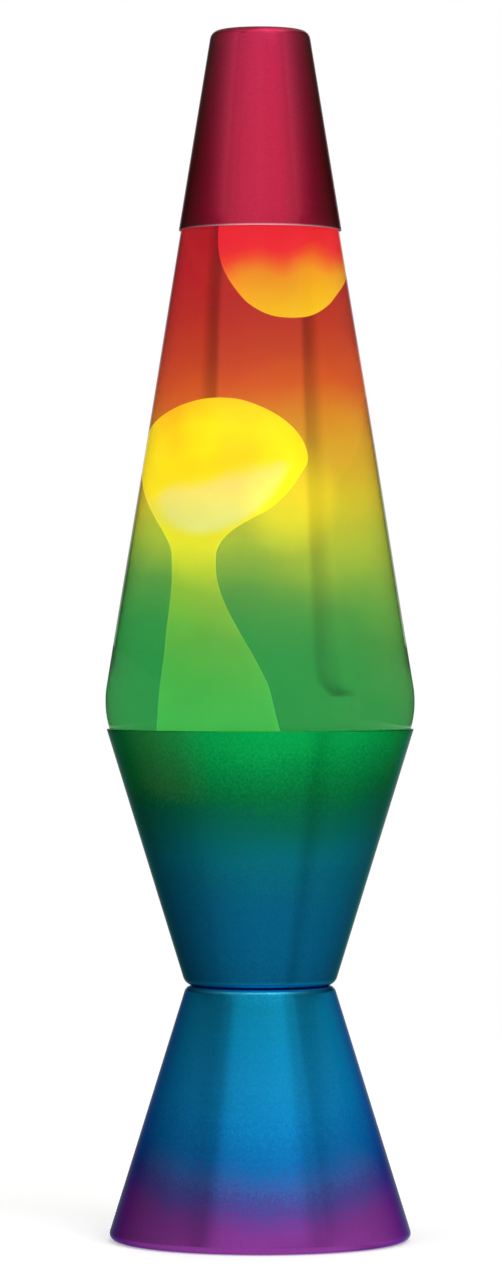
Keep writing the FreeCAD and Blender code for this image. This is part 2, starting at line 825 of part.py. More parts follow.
# Globe: blown bottle with a raised bottom, a seat taper that matches the
# holder, a soft shoulder, the long upper taper and a crown finish
inner_rise = f"(({seat_wall} - {taper_wall}) / ({holder_lean} + {globe_lean}))"
inner_shoulder = (
    f"({shoulder_radius} + {holder_lean} * {inner_rise} - {seat_wall})",
    f"(shoulder_height + {inner_rise})",
)
inner_cone_top = "(cone_top_height - glass_wall / 2)"
lip_low = "(globe_top - lip_height)"
turned(
    "globe_bottle",
    [
        ("0", "globe_bottom + punt_rise"),
        ("punt_top_radius", "globe_bottom + punt_rise"),
        ("punt_radius", "globe_bottom"),
        (seat_radius("globe_bottom"), "globe_bottom"),
        (shoulder_radius, "shoulder_height"),
        ("cone_top_radius", "cone_top_height"),
        ("neck_radius", "neck_height"),
        ("neck_radius", lip_low),
        ("lip_radius", f"{lip_low} + lip_radius - neck_radius"),
        ("lip_radius", "globe_top"),
        ("mouth_radius", "globe_top"),
        ("mouth_radius", "neck_height"),
        (f"{globe_radius(inner_cone_top)} - {taper_wall}", inner_cone_top),
        inner_shoulder,
        (f"{seat_radius(inner_bottom)} - {seat_wall}", inner_bottom),
        ("punt_radius", inner_bottom),
        ("punt_top_radius", f"{inner_bottom} + punt_rise"),
        ("0", f"{inner_bottom} + punt_rise"),
    ],
    [
        ([3], "heel_round"),
        ([14], "inner_heel_round"),
        ([1, 2, 15, 16], "punt_round"),
        ([4], "shoulder_round"),
        ([13], "shoulder_round - glass_wall"),
        ([5, 6], "neck_round"),
        ([11, 12], "neck_round - glass_wall"),
        ([8, 9, 10], "lip_round"),
    ],
)

# Crown closure: liner disc and a pressed crown with fluted skirt
skirt_bore = "(lip_radius + fit_gap)"
skirt_radius = f"({skirt_bore} + crown_wall + flute_depth)"
turned(
    "crown_liner",
    [
        ("0", "globe_top"),
        ("lip_radius - lip_round", "globe_top"),
        ("lip_radius - lip_round", "globe_top + liner_thickness"),
        ("0", "globe_top + liner_thickness"),
    ],
)
crown = turned(
    "crown_cap",
    [
        ("0", "globe_top + liner_thickness"),
        (skirt_bore, "globe_top + liner_thickness"),
        (f"{skirt_bore} + crown_flare", f"{crown_top} - crown_height"),
        (f"{skirt_radius} + crown_flare", f"{crown_top} - crown_height"),
        (skirt_radius, crown_top),
        ("0", crown_top),
    ],
    [([4], "crown_round")],
)
flute = crown.newObject("PartDesign::SubtractiveCylinder", "crown_flute")
bind(flute, Radius="flute_radius", Height="flute_height")
place(
    flute,
    f"{skirt_radius} + crown_flare + flute_radius - flute_depth",
    "0",
    f"{crown_top} - crown_height",
)
cut(crown, flute)
flutes = crown.newObject("PartDesign::PolarPattern", "crown_flutes")
flutes.Originals = [flute]
flutes.Axis = (origin_plane(crown, "Z_Axis"), [""])
flutes.Angle = 360
bind(flutes, Occurrences="flute_count")
crown.Tip = flutes
doc.recompute()

# Wire coil on the globe's bottom: a flat spiral wound as half turns, whose
# centres alternate by half the pitch
coil_low = f"({inner_bottom} + coil_wire_radius + fit_gap)"
coil = new_body("heating_coil")
for half in range(2 * int(value("coil_turns"))):
    odd = half % 2
    centre = "coil_pitch / 2" if odd else "0"
    start = f"coil_radius + {half // 2} * coil_pitch"
    across = f"-({start})" if odd else start
    wire = disc(coil, f"wire_{half}", "coil_wire_radius", across, coil_low, "XZ_Plane")
    axis = Part.LineSegment(Vector(value(centre), 0, 0), Vector(value(centre), value(coil_low), 0))
    line = wire.addGeometry(axis, True)
    pin(wire, line, 1, centre, "0")
    pin(wire, line, 2, centre, coil_low)
    half_turn = coil.newObject("PartDesign::Revolution", f"half_turn_{half}")
    half_turn.Profile = wire
    half_turn.ReferenceAxis = (wire, ["Axis0"])
    half_turn.Angle = 180
    doc.recompute()
keep(coil, "heating_coil")

# Wax: the pool in the bottom and the column that rises from it to its head
pool_low = f"({inner_bottom} + fluid_gap)"
pool_skin = f"({seat_wall} + fluid_gap * {holder_secant})"
wax = turned(
    "wax_column",
    [
        ("0", f"{pool_low} + punt_rise"),
        ("punt_top_radius", f"{pool_low} + punt_rise"),
        ("punt_radius", pool_low),
        (f"{seat_radius(pool_low)} - {pool_skin}", pool_low),
        (f"{seat_radius('pool_top')} - {pool_skin}", "pool_top"),
        ("0", "pool_top"),
    ],
    [([3], "inner_heel_round"), ([1, 2], "punt_round")],
)
channel = "(coil_wire_radius + fluid_gap)"
trench = wax.newObject("PartDesign::Groove", "coil_trench")
trench_face = outline(
    wax,
    "coil_trench_face",
    [
        (f"coil_radius - {channel}", inner_bottom),
        (f"coil_radius + coil_pitch * coil_turns + {channel}", inner_bottom),
        (f"coil_radius + coil_pitch * coil_turns + {channel}", f"{coil_low} + {channel}"),
        (f"coil_radius - {channel}", f"{coil_low} + {channel}"),
    ],
)
trench.Profile = trench_face
trench.ReferenceAxis = (trench_face, ["V_Axis"])
trench.Angle = 360
cut(wax, trench)

column = [
    ("pool_top - fluid_gap", "column_root_shift", "column_root_radius"),
    ("column_foot_height", "column_foot_shift", "column_foot_radius"),
    ("column_shank_height", "column_shank_shift", "column_shank_radius"),
    ("column_neck_height", "column_neck_shift", "column_neck_radius"),
    ("head_height - column_throat_drop", "column_throat_shift", "column_throat_radius"),
]


def column_loft(body, kind, name, extra):
    # The leaning column, larger all round by the extra
    rings = []
    for number, (height, shift, radius) in enumerate(column, start=1):
        ring = disc(body, f"{name}_{number}", f"{radius} + {extra}", f"-{shift}", "0")
        ring.setExpression("AttachmentOffset.Base.z", link(height))
        rings.append(ring)
    loft = body.newObject(kind, name)
    loft.Profile = rings[0]
    loft.Sections = rings[1:]
    return loft


def ellipsoid(body, kind, name, shift, height, half_width, half_height):
    form = body.newObject(kind, name)
    bind(form, Radius1=half_height, Radius2=half_width, Radius3=half_width)
    place(form, shift, "0", height)
    return form


column_loft(wax, "PartDesign::AdditiveLoft", "column", "0")
doc.recompute()
ellipsoid(
    wax, "PartDesign::AdditiveEllipsoid", "column_head",
    "-head_shift", "head_height", "head_half_width", "head_half_height",
)
doc.recompute()

blob = new_body("wax_blob")
ellipsoid(
    blob, "PartDesign::AdditiveEllipsoid", "blob",
    "blob_shift", "blob_height", "blob_half_width", "blob_half_height",
)
keep(blob, "wax_blob")

# Liquid above the pool, hollowed round the column, its head and the free blob
liquid_low = "(pool_top + fluid_gap)"
liquid_taper = f"({taper_wall} + fluid_gap * {globe_secant})"
liquid_shoulder = f"({inner_shoulder[0]} - fluid_gap * {globe_secant})"
liquid_edge = f"({seat_radius(liquid_low)} - {pool_skin})"
liquid_lean = f"(({liquid_shoulder} - {liquid_edge}) / ({inner_shoulder[1]} - {liquid_low}))"
liquid = turned(
    "liquid",
    [
        ("0", inner_bottom),
        (f"{liquid_edge} - {liquid_lean} * ({liquid_low} - {inner_bottom})", inner_bottom),
        (liquid_shoulder, inner_shoulder[1]),
        (f"{globe_radius('liquid_level')} - {liquid_taper}", "liquid_level"),
        ("0", "liquid_level"),
    ],
    [([2], "shoulder_round - glass_wall")],
)
pool_room = liquid.newObject("PartDesign::SubtractiveCylinder", "pool_room")
bind(pool_room, Radius="holder_rim_radius", Height=f"{liquid_low} - {inner_bottom}")
place(pool_room, "0", "0", inner_bottom)
cut(liquid, pool_room)
cut(liquid, column_loft(liquid, "PartDesign::SubtractiveLoft", "column_hollow", "fluid_gap"))
hollow = ellipsoid(
    liquid, "PartDesign::SubtractiveEllipsoid", "head_hollow",
    "-head_shift", "head_height", "head_half_width + fluid_gap", "head_half_height + fluid_gap",
)
cut(liquid, hollow)
hollow = ellipsoid(
    liquid, "PartDesign::SubtractiveEllipsoid", "blob_hollow",
    "blob_shift", "blob_height", "blob_half_width + fluid_gap", "blob_half_height + fluid_gap",
)
cut(liquid, hollow)

# Cap: spun cone over the globe's neck, on the same taper as the globe
cap_bore = f"cap_gap * {globe_secant}"
cap_skin = f"(cap_gap + cap_wall) * {globe_secant}"
cap_ceiling = "(total_height - cap_wall)"
turned(
    "cap_cone",
    [
        (f"{globe_radius('cap_rim_height')} + {cap_bore}", "cap_rim_height"),
        (f"{globe_radius('cap_rim_height')} + {cap_skin}", "cap_rim_height"),
        (f"{globe_radius('total_height')} + {cap_skin}", "total_height"),
        ("0", "total_height"),
        ("0", cap_ceiling),
        (f"{globe_radius(cap_ceiling)} + {cap_bore}", cap_ceiling),
    ],
    [
        ([2], "cap_round"),
        ([5], "cap_round - cap_wall"),
        ([0, 1], "0.35 * cap_wall"),
    ],
)

doc.recompute()
for item in doc.Objects:
    if "Invalid" in item.State or "Error" in item.State:
        raise RuntimeError(f"{item.Name}: {item.State}")
for item in subparts:
    if item.Shape.isNull() or not item.Shape.isValid():
        raise RuntimeError(f"{item.Label} has no valid shape")

os.makedirs("parts", exist_ok=True)
for item in subparts:
    item.Shape.exportStep(f"parts/{item.Label}.step")
    print(item.Label, len(item.Shape.Solids), round(item.Shape.Volume, 1))
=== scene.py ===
import math

import bmesh
import bpy
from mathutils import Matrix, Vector


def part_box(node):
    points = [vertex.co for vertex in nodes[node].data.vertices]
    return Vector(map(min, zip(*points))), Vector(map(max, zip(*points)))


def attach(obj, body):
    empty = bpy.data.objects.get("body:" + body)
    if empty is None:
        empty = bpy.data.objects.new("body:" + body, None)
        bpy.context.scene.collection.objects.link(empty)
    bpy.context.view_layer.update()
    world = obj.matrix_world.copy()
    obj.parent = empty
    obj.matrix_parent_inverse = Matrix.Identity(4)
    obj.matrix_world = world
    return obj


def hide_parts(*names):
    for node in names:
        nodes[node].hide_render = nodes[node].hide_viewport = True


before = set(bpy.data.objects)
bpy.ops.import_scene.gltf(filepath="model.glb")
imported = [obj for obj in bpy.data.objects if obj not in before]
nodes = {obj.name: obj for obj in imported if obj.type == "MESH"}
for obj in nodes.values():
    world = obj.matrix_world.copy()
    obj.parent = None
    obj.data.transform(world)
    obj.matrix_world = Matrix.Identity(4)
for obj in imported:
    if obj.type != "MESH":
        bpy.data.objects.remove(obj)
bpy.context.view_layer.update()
scene = bpy.context.scene
scene.view_settings.view_transform = "Standard"
mm = 0.001  # the frame is in metres, the sizes below in millimetres
print("frame loaded:", len(nodes), "nodes")


def toLinear(hexColour):
    channels = [int(hexColour[i:i + 2], 16) / 255 for i in (1, 3, 5)]
    return [c / 12.92 if c <= 0.04045 else ((c + 0.055) / 1.055) ** 2.4 for c in channels] + [1.0]


# Feed a node's sockets, by place or name, with plain values, outputs or nodes (their first live output)
def feed(node, links):
    for socket, source in links.items():
        if isinstance(source, bpy.types.Node):
            source = next(output for output in source.outputs if output.enabled)
        if isinstance(source, bpy.types.NodeSocket):
            node.id_data.links.new(source, node.inputs[socket])
        else:
            node.inputs[socket].default_value = source


# Add a node; links in a list follow the order of its sockets, a map range's being value, from and to
def addNode(tree, kind, links=(), stops=None, **settings):
    node = tree.nodes.new("ShaderNode" + kind)
    for name, setting in settings.items():
        setattr(node, name, setting)
    feed(node, links if isinstance(links, dict) else dict(enumerate(links)))
    if stops:  # colour ramp: place and hex colour, or place and grey level
        ramp = node.color_ramp
        while len(ramp.elements) < len(stops):
            ramp.elements.new(1.0)
        for element, (place, colour) in zip(ramp.elements, stops):
            element.position = place
            element.color = toLinear(colour) if isinstance(colour, str) else (colour, colour, colour, 1)
    return node


def newMaterial(name, **sockets):
    material = bpy.data.materials.new(name)
    material.use_nodes = True
    shader = material.node_tree.nodes["Principled BSDF"]
    for socket, setting in sockets.items():
        if isinstance(setting, str):
            setting = toLinear(setting)
        shader.inputs[socket.replace("_", " ")].default_value = setting
    return material, material.node_tree, shader


def addObject(name, data):
    added = bpy.data.objects.new(name, data)
    scene.collection.objects.link(added)
    return added


# Add a flat panel of the studio, from its four corners in metres
def addPanel(name, corners, material):
    mesh = bpy.data.meshes.new(name)
    mesh.from_pydata(corners, [], [(0, 1, 2, 3)])
    mesh.materials.append(material)
    return addObject(name, mesh)


# Round the corners of a turned outline: each corner is radius, height and fillet
def roundCorners(corners, closed, steps):
    outline = []
    for i, (r, z, fillet) in enumerate(corners):
        if not fillet or (not closed and i in (0, len(corners) - 1)):
            outline.append((r, z))
            continue
        here = Vector((r, z))
        before = Vector(corners[i - 1][:2]) - here
        after = Vector(corners[(i + 1) % len(corners)][:2]) - here
        half = before.angle(after) / 2
        # less than half of each run, so that the fillets at its two ends don't meet
        reach = min(fillet / math.tan(half), 0.49 * before.length, 0.49 * after.length)
        radius = reach * math.tan(half)
        centre = here + (before.normalized() + after.normalized()).normalized() * (radius / math.sin(half))
        start = here + before.normalized() * reach - centre
        end = here + after.normalized() * reach - centre
        sweep = start.angle_signed(end)
        for step in range(steps + 1):
            turn = -sweep * step / steps
            c, s = math.cos(turn), math.sin(turn)
            outline.append((centre.x + c * start.x - s * start.y, centre.y + s * start.x + c * start.y))
    return outline


# Cut long straight runs of an outline into short ones
def divide(outline, closed, longest):
    finer = []
    count = len(outline)
    for i in range(count if closed else count - 1):
        (r0, z0), (r1, z1) = outline[i], outline[(i + 1) % count]
        parts = max(1, math.ceil(math.hypot(r1 - r0, z1 - z0) / longest))
        finer += [(r0 + (r1 - r0) * k / parts, z0 + (z1 - z0) * k / parts) for k in range(parts)]
    return finer if closed else finer + [outline[-1]]


# Make a piece that rides on a body; lining is a second finish and the test that its faces meet
def makePiece(name, points, faces, body, slot, material, replaced, sharp=40, lining=None):
    mesh = bpy.data.meshes.new(name)
    mesh.from_pydata([Vector(p) * mm for p in points], [], faces)
    work = bmesh.new()
    work.from_mesh(mesh)
    bmesh.ops.remove_doubles(work, verts=work.verts, dist=1e-7)
    bmesh.ops.recalc_face_normals(work, faces=work.faces)
    work.to_mesh(mesh)
    work.free()
    mesh.polygons.foreach_set("use_smooth", [True] * len(mesh.polygons))
    mesh.set_sharp_from_angle(angle=math.radians(sharp))
    mesh.materials.append(material)
    if lining:
        mesh.materials.append(lining[0])
        for face in mesh.polygons:
            face.material_index = int(lining[1](face))
    piece = addObject(name, mesh)
    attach(piece, body)
    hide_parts(*replaced)
    return piece


# Drill a round hole through a piece's wall
def drill(piece, place, axis, radius, length):
    cutMesh = bpy.data.meshes.new("drill")
    work = bmesh.new()
    bmesh.ops.create_cone(
        work, cap_ends=True, segments=64, radius1=radius * mm, radius2=radius * mm, depth=length * mm
    )
    work.to_mesh(cutMesh)
    work.free()
    cutter = addObject("drill", cutMesh)
    cutter.location = Vector(place) * mm
    cutter.rotation_euler = Vector(axis).to_track_quat("Z", "Y").to_euler()
    cut = piece.modifiers.new("hole", "BOOLEAN")
    cut.object = cutter
    cut.solver = "EXACT"
    bpy.context.view_layer.update()
    drilled = bpy.data.meshes.new_from_object(piece.evaluated_get(bpy.context.evaluated_depsgraph_get()))
    piece.modifiers.remove(cut)
    piece.data = drilled
    bpy.data.objects.remove(cutter)


# Turn an outline about the lamp's axis; ripple moves a point's radius by angle and height
def turnOutline(outline, closed, sides, ripple=None):
    points, faces = [], []
    for r, z in outline:
        for side in range(sides):
            angle = 2 * math.pi * side / sides
            radius = ripple(angle, r, z) if ripple else r
            points.append((radius * math.cos(angle), radius * math.sin(angle), z))
    for ring in range(len(outline) if closed else len(outline) - 1):
        after = (ring + 1) % len(outline)
        for side in range(sides):
            beside = (side + 1) % sides
            low, high = ring * sides, after * sides
            corner = (low + side, low + beside, high + beside, high + side)
            if outline[ring][0] < 1e-6:
                corner = (corner[0], corner[2], corner[3])
            elif outline[after][0] < 1e-6:
                corner = corner[:3]
            faces.append(corner)
    return points, faces


# How finely pieces are turned: steps in a corner, longest run of the outline in millimetres, facets around
cuts = {
    "spun": (9, 4.0, 192), "blown": (14, 3.0, 192), "bulb": (16, math.inf, 96),
    "thread": (4, 0.3, 96), "pipe": (4, 0.16, 64), "crown": (9, 0.7, 210),
}


# Turn a piece from the corners of its outline
def turnPiece(name, corners, closed, cut, body, slot, material, replaced, ripple=None, **options):
    steps, longest, sides = cuts[cut]
    outline = divide(roundCorners(corners, closed, steps), closed, longest)
    points, faces = turnOutline(outline, closed, sides, ripple)
    return makePiece(name, points, faces, body, slot, material, replaced, **options)


# Camera at the photograph's level view, a little left of the axis
photoView = {"place": (-0.0028, -1.70, 0.1835), "lens": 157.6, "sensor": 36, "tilt": 90}
cameraData = bpy.data.cameras.new("photoCamera")
cameraData.lens = photoView["lens"]
cameraData.sensor_width = photoView["sensor"]
camera = addObject("photoCamera", cameraData)
camera.location = photoView["place"]
camera.rotation_euler = (math.radians(photoView["tilt"]), 0, 0)
scene.camera = camera
print("camera set")

smooth = {"interpolation_type": "SMOOTHSTEP"}  # a map range that eases in and out


# Turn round the lamp's axis of a direction or a place: 0.5 is the front, 0 and 1 the back
def turnFromFront(tree, axes):
    flipped = addNode(tree, "Math", [axes.outputs["Y"], -1.0], operation="MULTIPLY")
    angle = addNode(tree, "Math", [axes.outputs["X"], flipped], operation="ARCTAN2")
    return addNode(tree, "MapRange", [angle, -math.pi, math.pi])


# Studio: white sweep, softbox in front, darker sides and back that the metal mirrors
studio = {
    "diffuse": 0.55,
    # brightness that gloss sees, by turn round the lamp
    "ring": [
        (0.00, 0.42), (0.05, 0.30), (0.133, 0.28), (0.222, 0.38), (0.292, 0.52), (0.333, 0.58),
        (0.350, 0.46), (0.361, 0.38), (0.375, 0.48), (0.403, 0.86), (0.50, 0.98), (0.545, 0.82),
        (0.600, 0.80), (0.622, 0.62), (0.636, 0.56), (0.652, 0.72), (0.68, 0.86), (0.740, 0.82),
        (0.806, 0.70), (0.867, 0.62), (0.944, 0.46), (1.00, 0.42),
    ],
    # the same for gloss that looks up, where the softbox on the right is brighter, before the gain
    "upper": [
        (0.00, 0.32), (0.05, 0.23), (0.133, 0.215), (0.222, 0.29), (0.292, 0.41), (0.333, 0.445),
        (0.350, 0.36), (0.361, 0.30), (0.375, 0.38), (0.403, 0.69), (0.50, 0.77), (0.53, 0.83),
        (0.555, 0.93), (0.600, 1.0), (0.622, 0.77), (0.636, 0.69), (0.652, 0.80), (0.69, 0.92),
        (0.740, 0.74), (0.806, 0.56), (0.867, 0.48), (0.944, 0.35), (1.00, 0.32),
    ],
    "upperGain": 1.3,
    "upperFrom": (0.40, 0.50),  # rise of the direction: 0 is level, 1 straight up
    # and for gloss that looks down at the floor
    "lower": [
        (0.00, 0.42), (0.05, 0.30), (0.133, 0.28), (0.222, 0.38), (0.292, 0.52), (0.318, 0.57),
        (0.345, 0.70), (0.361, 0.74), (0.403, 0.86), (0.50, 1.0), (0.600, 1.0), (0.622, 0.76),
        (0.636, 0.69), (0.652, 0.81), (0.68, 0.90), (0.740, 0.82), (0.806, 0.70), (0.867, 0.62),
        (0.944, 0.46), (1.00, 0.42),
    ],
    "overhead": 1.5,  # the softbox above the front is brighter than the sweep
    "overheadFrom": (0.74, 0.86),
    "glass": 0.95,  # what glass sees of the sweep
}
white = [1, 1, 1, 1]
glassView = [studio["glass"]] * 3 + [1]
world = bpy.data.worlds.new("studio")
scene.world = world
world.use_nodes = True
tree = world.node_tree
direction = addNode(tree, "SeparateXYZ", [addNode(tree, "TexCoord").outputs["Generated"]])
turn = turnFromFront(tree, direction)
rise = direction.outputs["Z"]
ring = addNode(tree, "ValToRGB", [turn], studio["ring"])
upper = addNode(tree, "ValToRGB", [turn], studio["upper"])
upper = addNode(tree, "VectorMath", {0: upper, "Scale": studio["upperGain"]}, operation="SCALE")
raised = addNode(tree, "MapRange", [rise, *studio["upperFrom"]], **smooth)
ring = addNode(tree, "Mix", {"Factor": raised, "A": ring, "B": upper}, data_type="RGBA")
above = addNode(tree, "MapRange", [rise, *studio["overheadFrom"], 1.0, studio["overhead"]], **smooth)
ring = addNode(tree, "VectorMath", {0: ring, "Scale": above}, operation="SCALE")
# what lights the object, then what gloss, glass and the camera see
rays = addNode(tree, "LightPath")
seen = [studio["diffuse"]] * 3 + [1]
for ray, view in (("Is Glossy Ray", ring), ("Is Transmission Ray", glassView), ("Is Camera Ray", white)):
    seen = addNode(tree, "Mix", {"Factor": rays.outputs[ray], "A": seen, "B": view}, data_type="RGBA")
feed(tree.nodes["Background"], {"Color": seen})

# Floor of matt studio paper: pale, keeps the shadow; it runs out into the white sweep, and gloss and
# glass see it lit as the studio round the lamp is
paperFloor = {
    "half": 30, "drop": 0.0002, "colour": "#EDEDEB", "roughness": 0.9, "lift": 0.30,
    "white": (0.25, 1.0),  # how far from the lamp it turns white
    # brightness behind the globe: place 0 straight behind, 1 in front; two soft dark stands
    "behind": [
        (0.0, 0.97), (0.069, 0.95), (0.077, 0.34), (0.091, 0.40), (0.116, 0.95), (0.40, 0.98), (1.0, 0.9),
    ],
    # the stands' feet come closer together and paler towards the lamp, and are lost far away: each by
    # distance from the lamp in metres, from and to, then the amounts there
    "spread": (1.0, 3.5, 0.82, 1.12), "paler": (0.9, 3.0, 0.62, 0.0), "lost": (4.4, 6.0),
}
paper, tree, shader = newMaterial(
    "mattPaper", Base_Color=paperFloor["colour"], Roughness=paperFloor["roughness"], Emission_Color="#FFFFFF"
)
rays = addNode(tree, "LightPath")
plain = addNode(tree, "Math", [1.0, rays.outputs["Is Diffuse Ray"]], operation="SUBTRACT")
lift = addNode(tree, "Math", [plain, paperFloor["lift"]], operation="MULTIPLY")
feed(shader, {"Emission Strength": lift})
place = addNode(tree, "TexCoord").outputs["Object"]
spot = addNode(tree, "SeparateXYZ", [place])
mirrored = addNode(tree, "ValToRGB", [turnFromFront(tree, spot)], studio["lower"])
reach = addNode(tree, "VectorMath", [place], operation="LENGTH")
angle = addNode(tree, "Math", [spot.outputs["X"], spot.outputs["Y"]], operation="ARCTAN2")
turn = addNode(tree, "Math", [angle], operation="ABSOLUTE")
turn = addNode(tree, "Math", [turn, math.pi], operation="DIVIDE")
spread = addNode(tree, "MapRange", [reach, *paperFloor["spread"]])
turn = addNode(tree, "Math", [turn, spread], operation="DIVIDE")
behind = addNode(tree, "ValToRGB", [turn], paperFloor["behind"])
paler = addNode(tree, "MapRange", [reach, *paperFloor["paler"]])
lost = addNode(tree, "MapRange", [reach, *paperFloor["lost"]], **smooth)
paler = addNode(tree, "Math", [paler, lost], operation="MAXIMUM")
behind = addNode(tree, "Mix", {"Factor": paler, "A": behind, "B": glassView}, data_type="RGBA")
far = addNode(tree, "MapRange", [reach, *paperFloor["white"]], **smooth)
away = addNode(tree, "Math", [far, rays.outputs["Is Camera Ray"]], operation="MULTIPLY")
surface = shader
for factor, view in (
    (rays.outputs["Is Glossy Ray"], mirrored),
    (rays.outputs["Is Transmission Ray"], behind),
    (away, white),
):
    glow = addNode(tree, "Emission", {"Color": view, "Strength": 1.0})
    surface = addNode(tree, "MixShader", [factor, surface, glow])
feed(tree.nodes["Material Output"], {"Surface": surface})
half = paperFloor["half"]
corners = [(-half, -half, 0), (half, -half, 0), (half, half, 0), (-half, half, 0)]
floor = addPanel("paperFloor", corners, paper)
floor.location.z = -paperFloor["drop"]

# Flags that only gloss sees, darker towards the back: tall ones beside the upper half, pale ones before
# them and small dark ones close to the globe's shoulder. Each has its place in metres, its shades from
# front to back, how bright it is at the cap's rim (dip), above that (lift) and on the right
flags = {
    "tall": {
        "away": 0.45, "low": 0.24, "high": 0.90, "front": -0.32, "back": 1.2,
        "dip": 0.75, "lift": 3.4, "right": 1.45,
        "shades": [
            (0.0, 0.38), (0.06, 0.31), (0.12, 0.25), (0.2, 0.18), (0.28, 0.13), (0.4, 0.08), (0.55, 0.04),
            (1.0, 0.03),
        ],
    },
    "pale": {
        "away": 0.45, "low": 0.47, "high": 0.78, "front": -0.56, "back": -0.32,
        "dip": 1.0, "lift": 1.0, "right": 1.0,
        "shades": [(0.0, 0.92), (0.5, 0.80), (1.0, 0.66)],
    },
    "small": {
        "away": 0.11, "low": 0.138, "high": 0.19, "front": -0.05, "back": 0.6,
        "dip": 1.0, "lift": 1.0, "right": 1.0,
        "shades": [(0.0, 0.45), (0.05, 0.30), (0.12, 0.16), (0.25, 0.08), (0.5, 0.05), (1.0, 0.04)],
    },
}
dipRange, liftRange = (0.41, 0.45), (0.455, 0.52)  # heights that the cap's rim and the cap above it mirror
for name, flag in flags.items():
    cloth, tree = newMaterial(name + "FlagCloth")[:2]
    spot = addNode(tree, "SeparateXYZ", [addNode(tree, "TexCoord").outputs["Object"]])
    share = addNode(tree, "MapRange", [spot.outputs["Y"], flag["front"], flag["back"]])
    shade = addNode(tree, "ValToRGB", [share], flag["shades"])
    beside = addNode(tree, "MapRange", [spot.outputs["X"], -flag["away"], flag["away"], 1.0, flag["right"]])
    dip = addNode(tree, "MapRange", [spot.outputs["Z"], *dipRange, beside, flag["dip"]])
    lift = addNode(tree, "MapRange", [spot.outputs["Z"], *liftRange, 1.0, flag["lift"]])
    lift = addNode(tree, "Math", [dip, lift], operation="MULTIPLY")
    glow = addNode(tree, "Emission", {"Color": shade, "Strength": lift})
    feed(tree.nodes["Material Output"], {"Surface": glow})
    corners = [
        (flag["front"], flag["low"]), (flag["back"], flag["low"]),
        (flag["back"], flag["high"]), (flag["front"], flag["high"]),
    ]
    for side in (-flag["away"], flag["away"]):
        panel = addPanel(name + "Flag", [(side, y, z) for y, z in corners], cloth)
        panel.visible_camera = panel.visible_diffuse = False
        panel.visible_transmission = panel.visible_shadow = False

# Softboxes that light the object
lamps = {
    "keySoftbox": {"place": (0.75, -1.15, 1.25), "size": 1.1, "power": 15},
    "fillSoftbox": {"place": (-1.1, -0.7, 0.8), "size": 1.0, "power": 6},
    "backSoftbox": {"place": (0.2, 1.2, 1.3), "size": 1.0, "power": 5},
}
lampAim = Vector((0, 0, 0.17))
for name, lamp in lamps.items():
    light = bpy.data.lights.new(name, "AREA")
    light.energy = lamp["power"]
    light.size = lamp["size"]
    softbox = addObject(name, light)
    softbox.location = lamp["place"]
    softbox.rotation_euler = (lampAim - Vector(lamp["place"])).to_track_quat("-Z", "Y").to_euler()
    softbox.visible_glossy = False  # the ring above is what metal mirrors
    softbox.visible_transmission = False
print("studio lit")

# Where most, nearly all and all of a noise's values lie
noiseRange, wideRange, fullRange = (0.3, 0.7), (0.25, 0.75), (0.2, 0.8)


# Noise of a grain size in millimetres, and the two colours that it mixes
def grainTone(tree, size, dark, light, detail=2.0, roughness=0.5):
    spot = addNode(tree, "TexCoord").outputs["Object"]
    links = {"Vector": spot, "Scale": 1 / (size * mm), "Detail": detail, "Roughness": roughness}
    grain = addNode(tree, "TexNoise", links)
    return grain, addNode(tree, "ValToRGB", [grain], list(zip(noiseRange, (dark, light))))


# Noise of a grain size, and the shift up and down that it gives, both in millimetres
def wanderNoise(tree, spot, size, shift, detail=2.0, roughness=0.5):
    links = {"Vector": spot, "Scale": 1 / (size * mm), "Detail": detail, "Roughness": roughness}
    noise = addNode(tree, "TexNoise", links)
    return noise, addNode(tree, "MapRange", [noise, *noiseRange, -shift * mm, shift * mm])


# Colours by height: each stop is a height in millimetres and the colour there
def heightColours(tree, level, low, high, stops):
    share = addNode(tree, "MapRange", [level, low * mm, high * mm])
    places = [((z - low) / (high - low), colour) for z, colour in stops]
    return addNode(tree, "ValToRGB", [share], places)


# Rings that the lathe leaves, 0.2 mm apart, drawn 0.9 mm apart so that they show
def latheRings(tree, spot, pitch=0.9, around=18.0):
    scale = (around, around, 1 / (pitch * mm))
    stretch = addNode(tree, "VectorMath", [spot, scale], operation="MULTIPLY")
    links = {"Vector": stretch, "Scale": 1.0, "Detail": 3.0, "Roughness": 0.6}
    return addNode(tree, "TexNoise", links)


# Translucent lacquer sprayed over spun aluminium: deep colour that fades from band to band,
# satin mirror drawn out by the lathe's fine rings, faint sprayed speckle
spray = {
    "drift": 38,  # the spray's edge wanders a few millimetres over hand-widths
    "dots": 0.8, "scatter": 2.2, "fleck": 0.06,  # overspray of 0.3 mm dots, drawn at 0.8 mm so that it shows
    "coatRoughness": 0.12, "grain": 0.65, "grainTurn": 0.25, "satin": 0.025, "relief": 0.02,
}


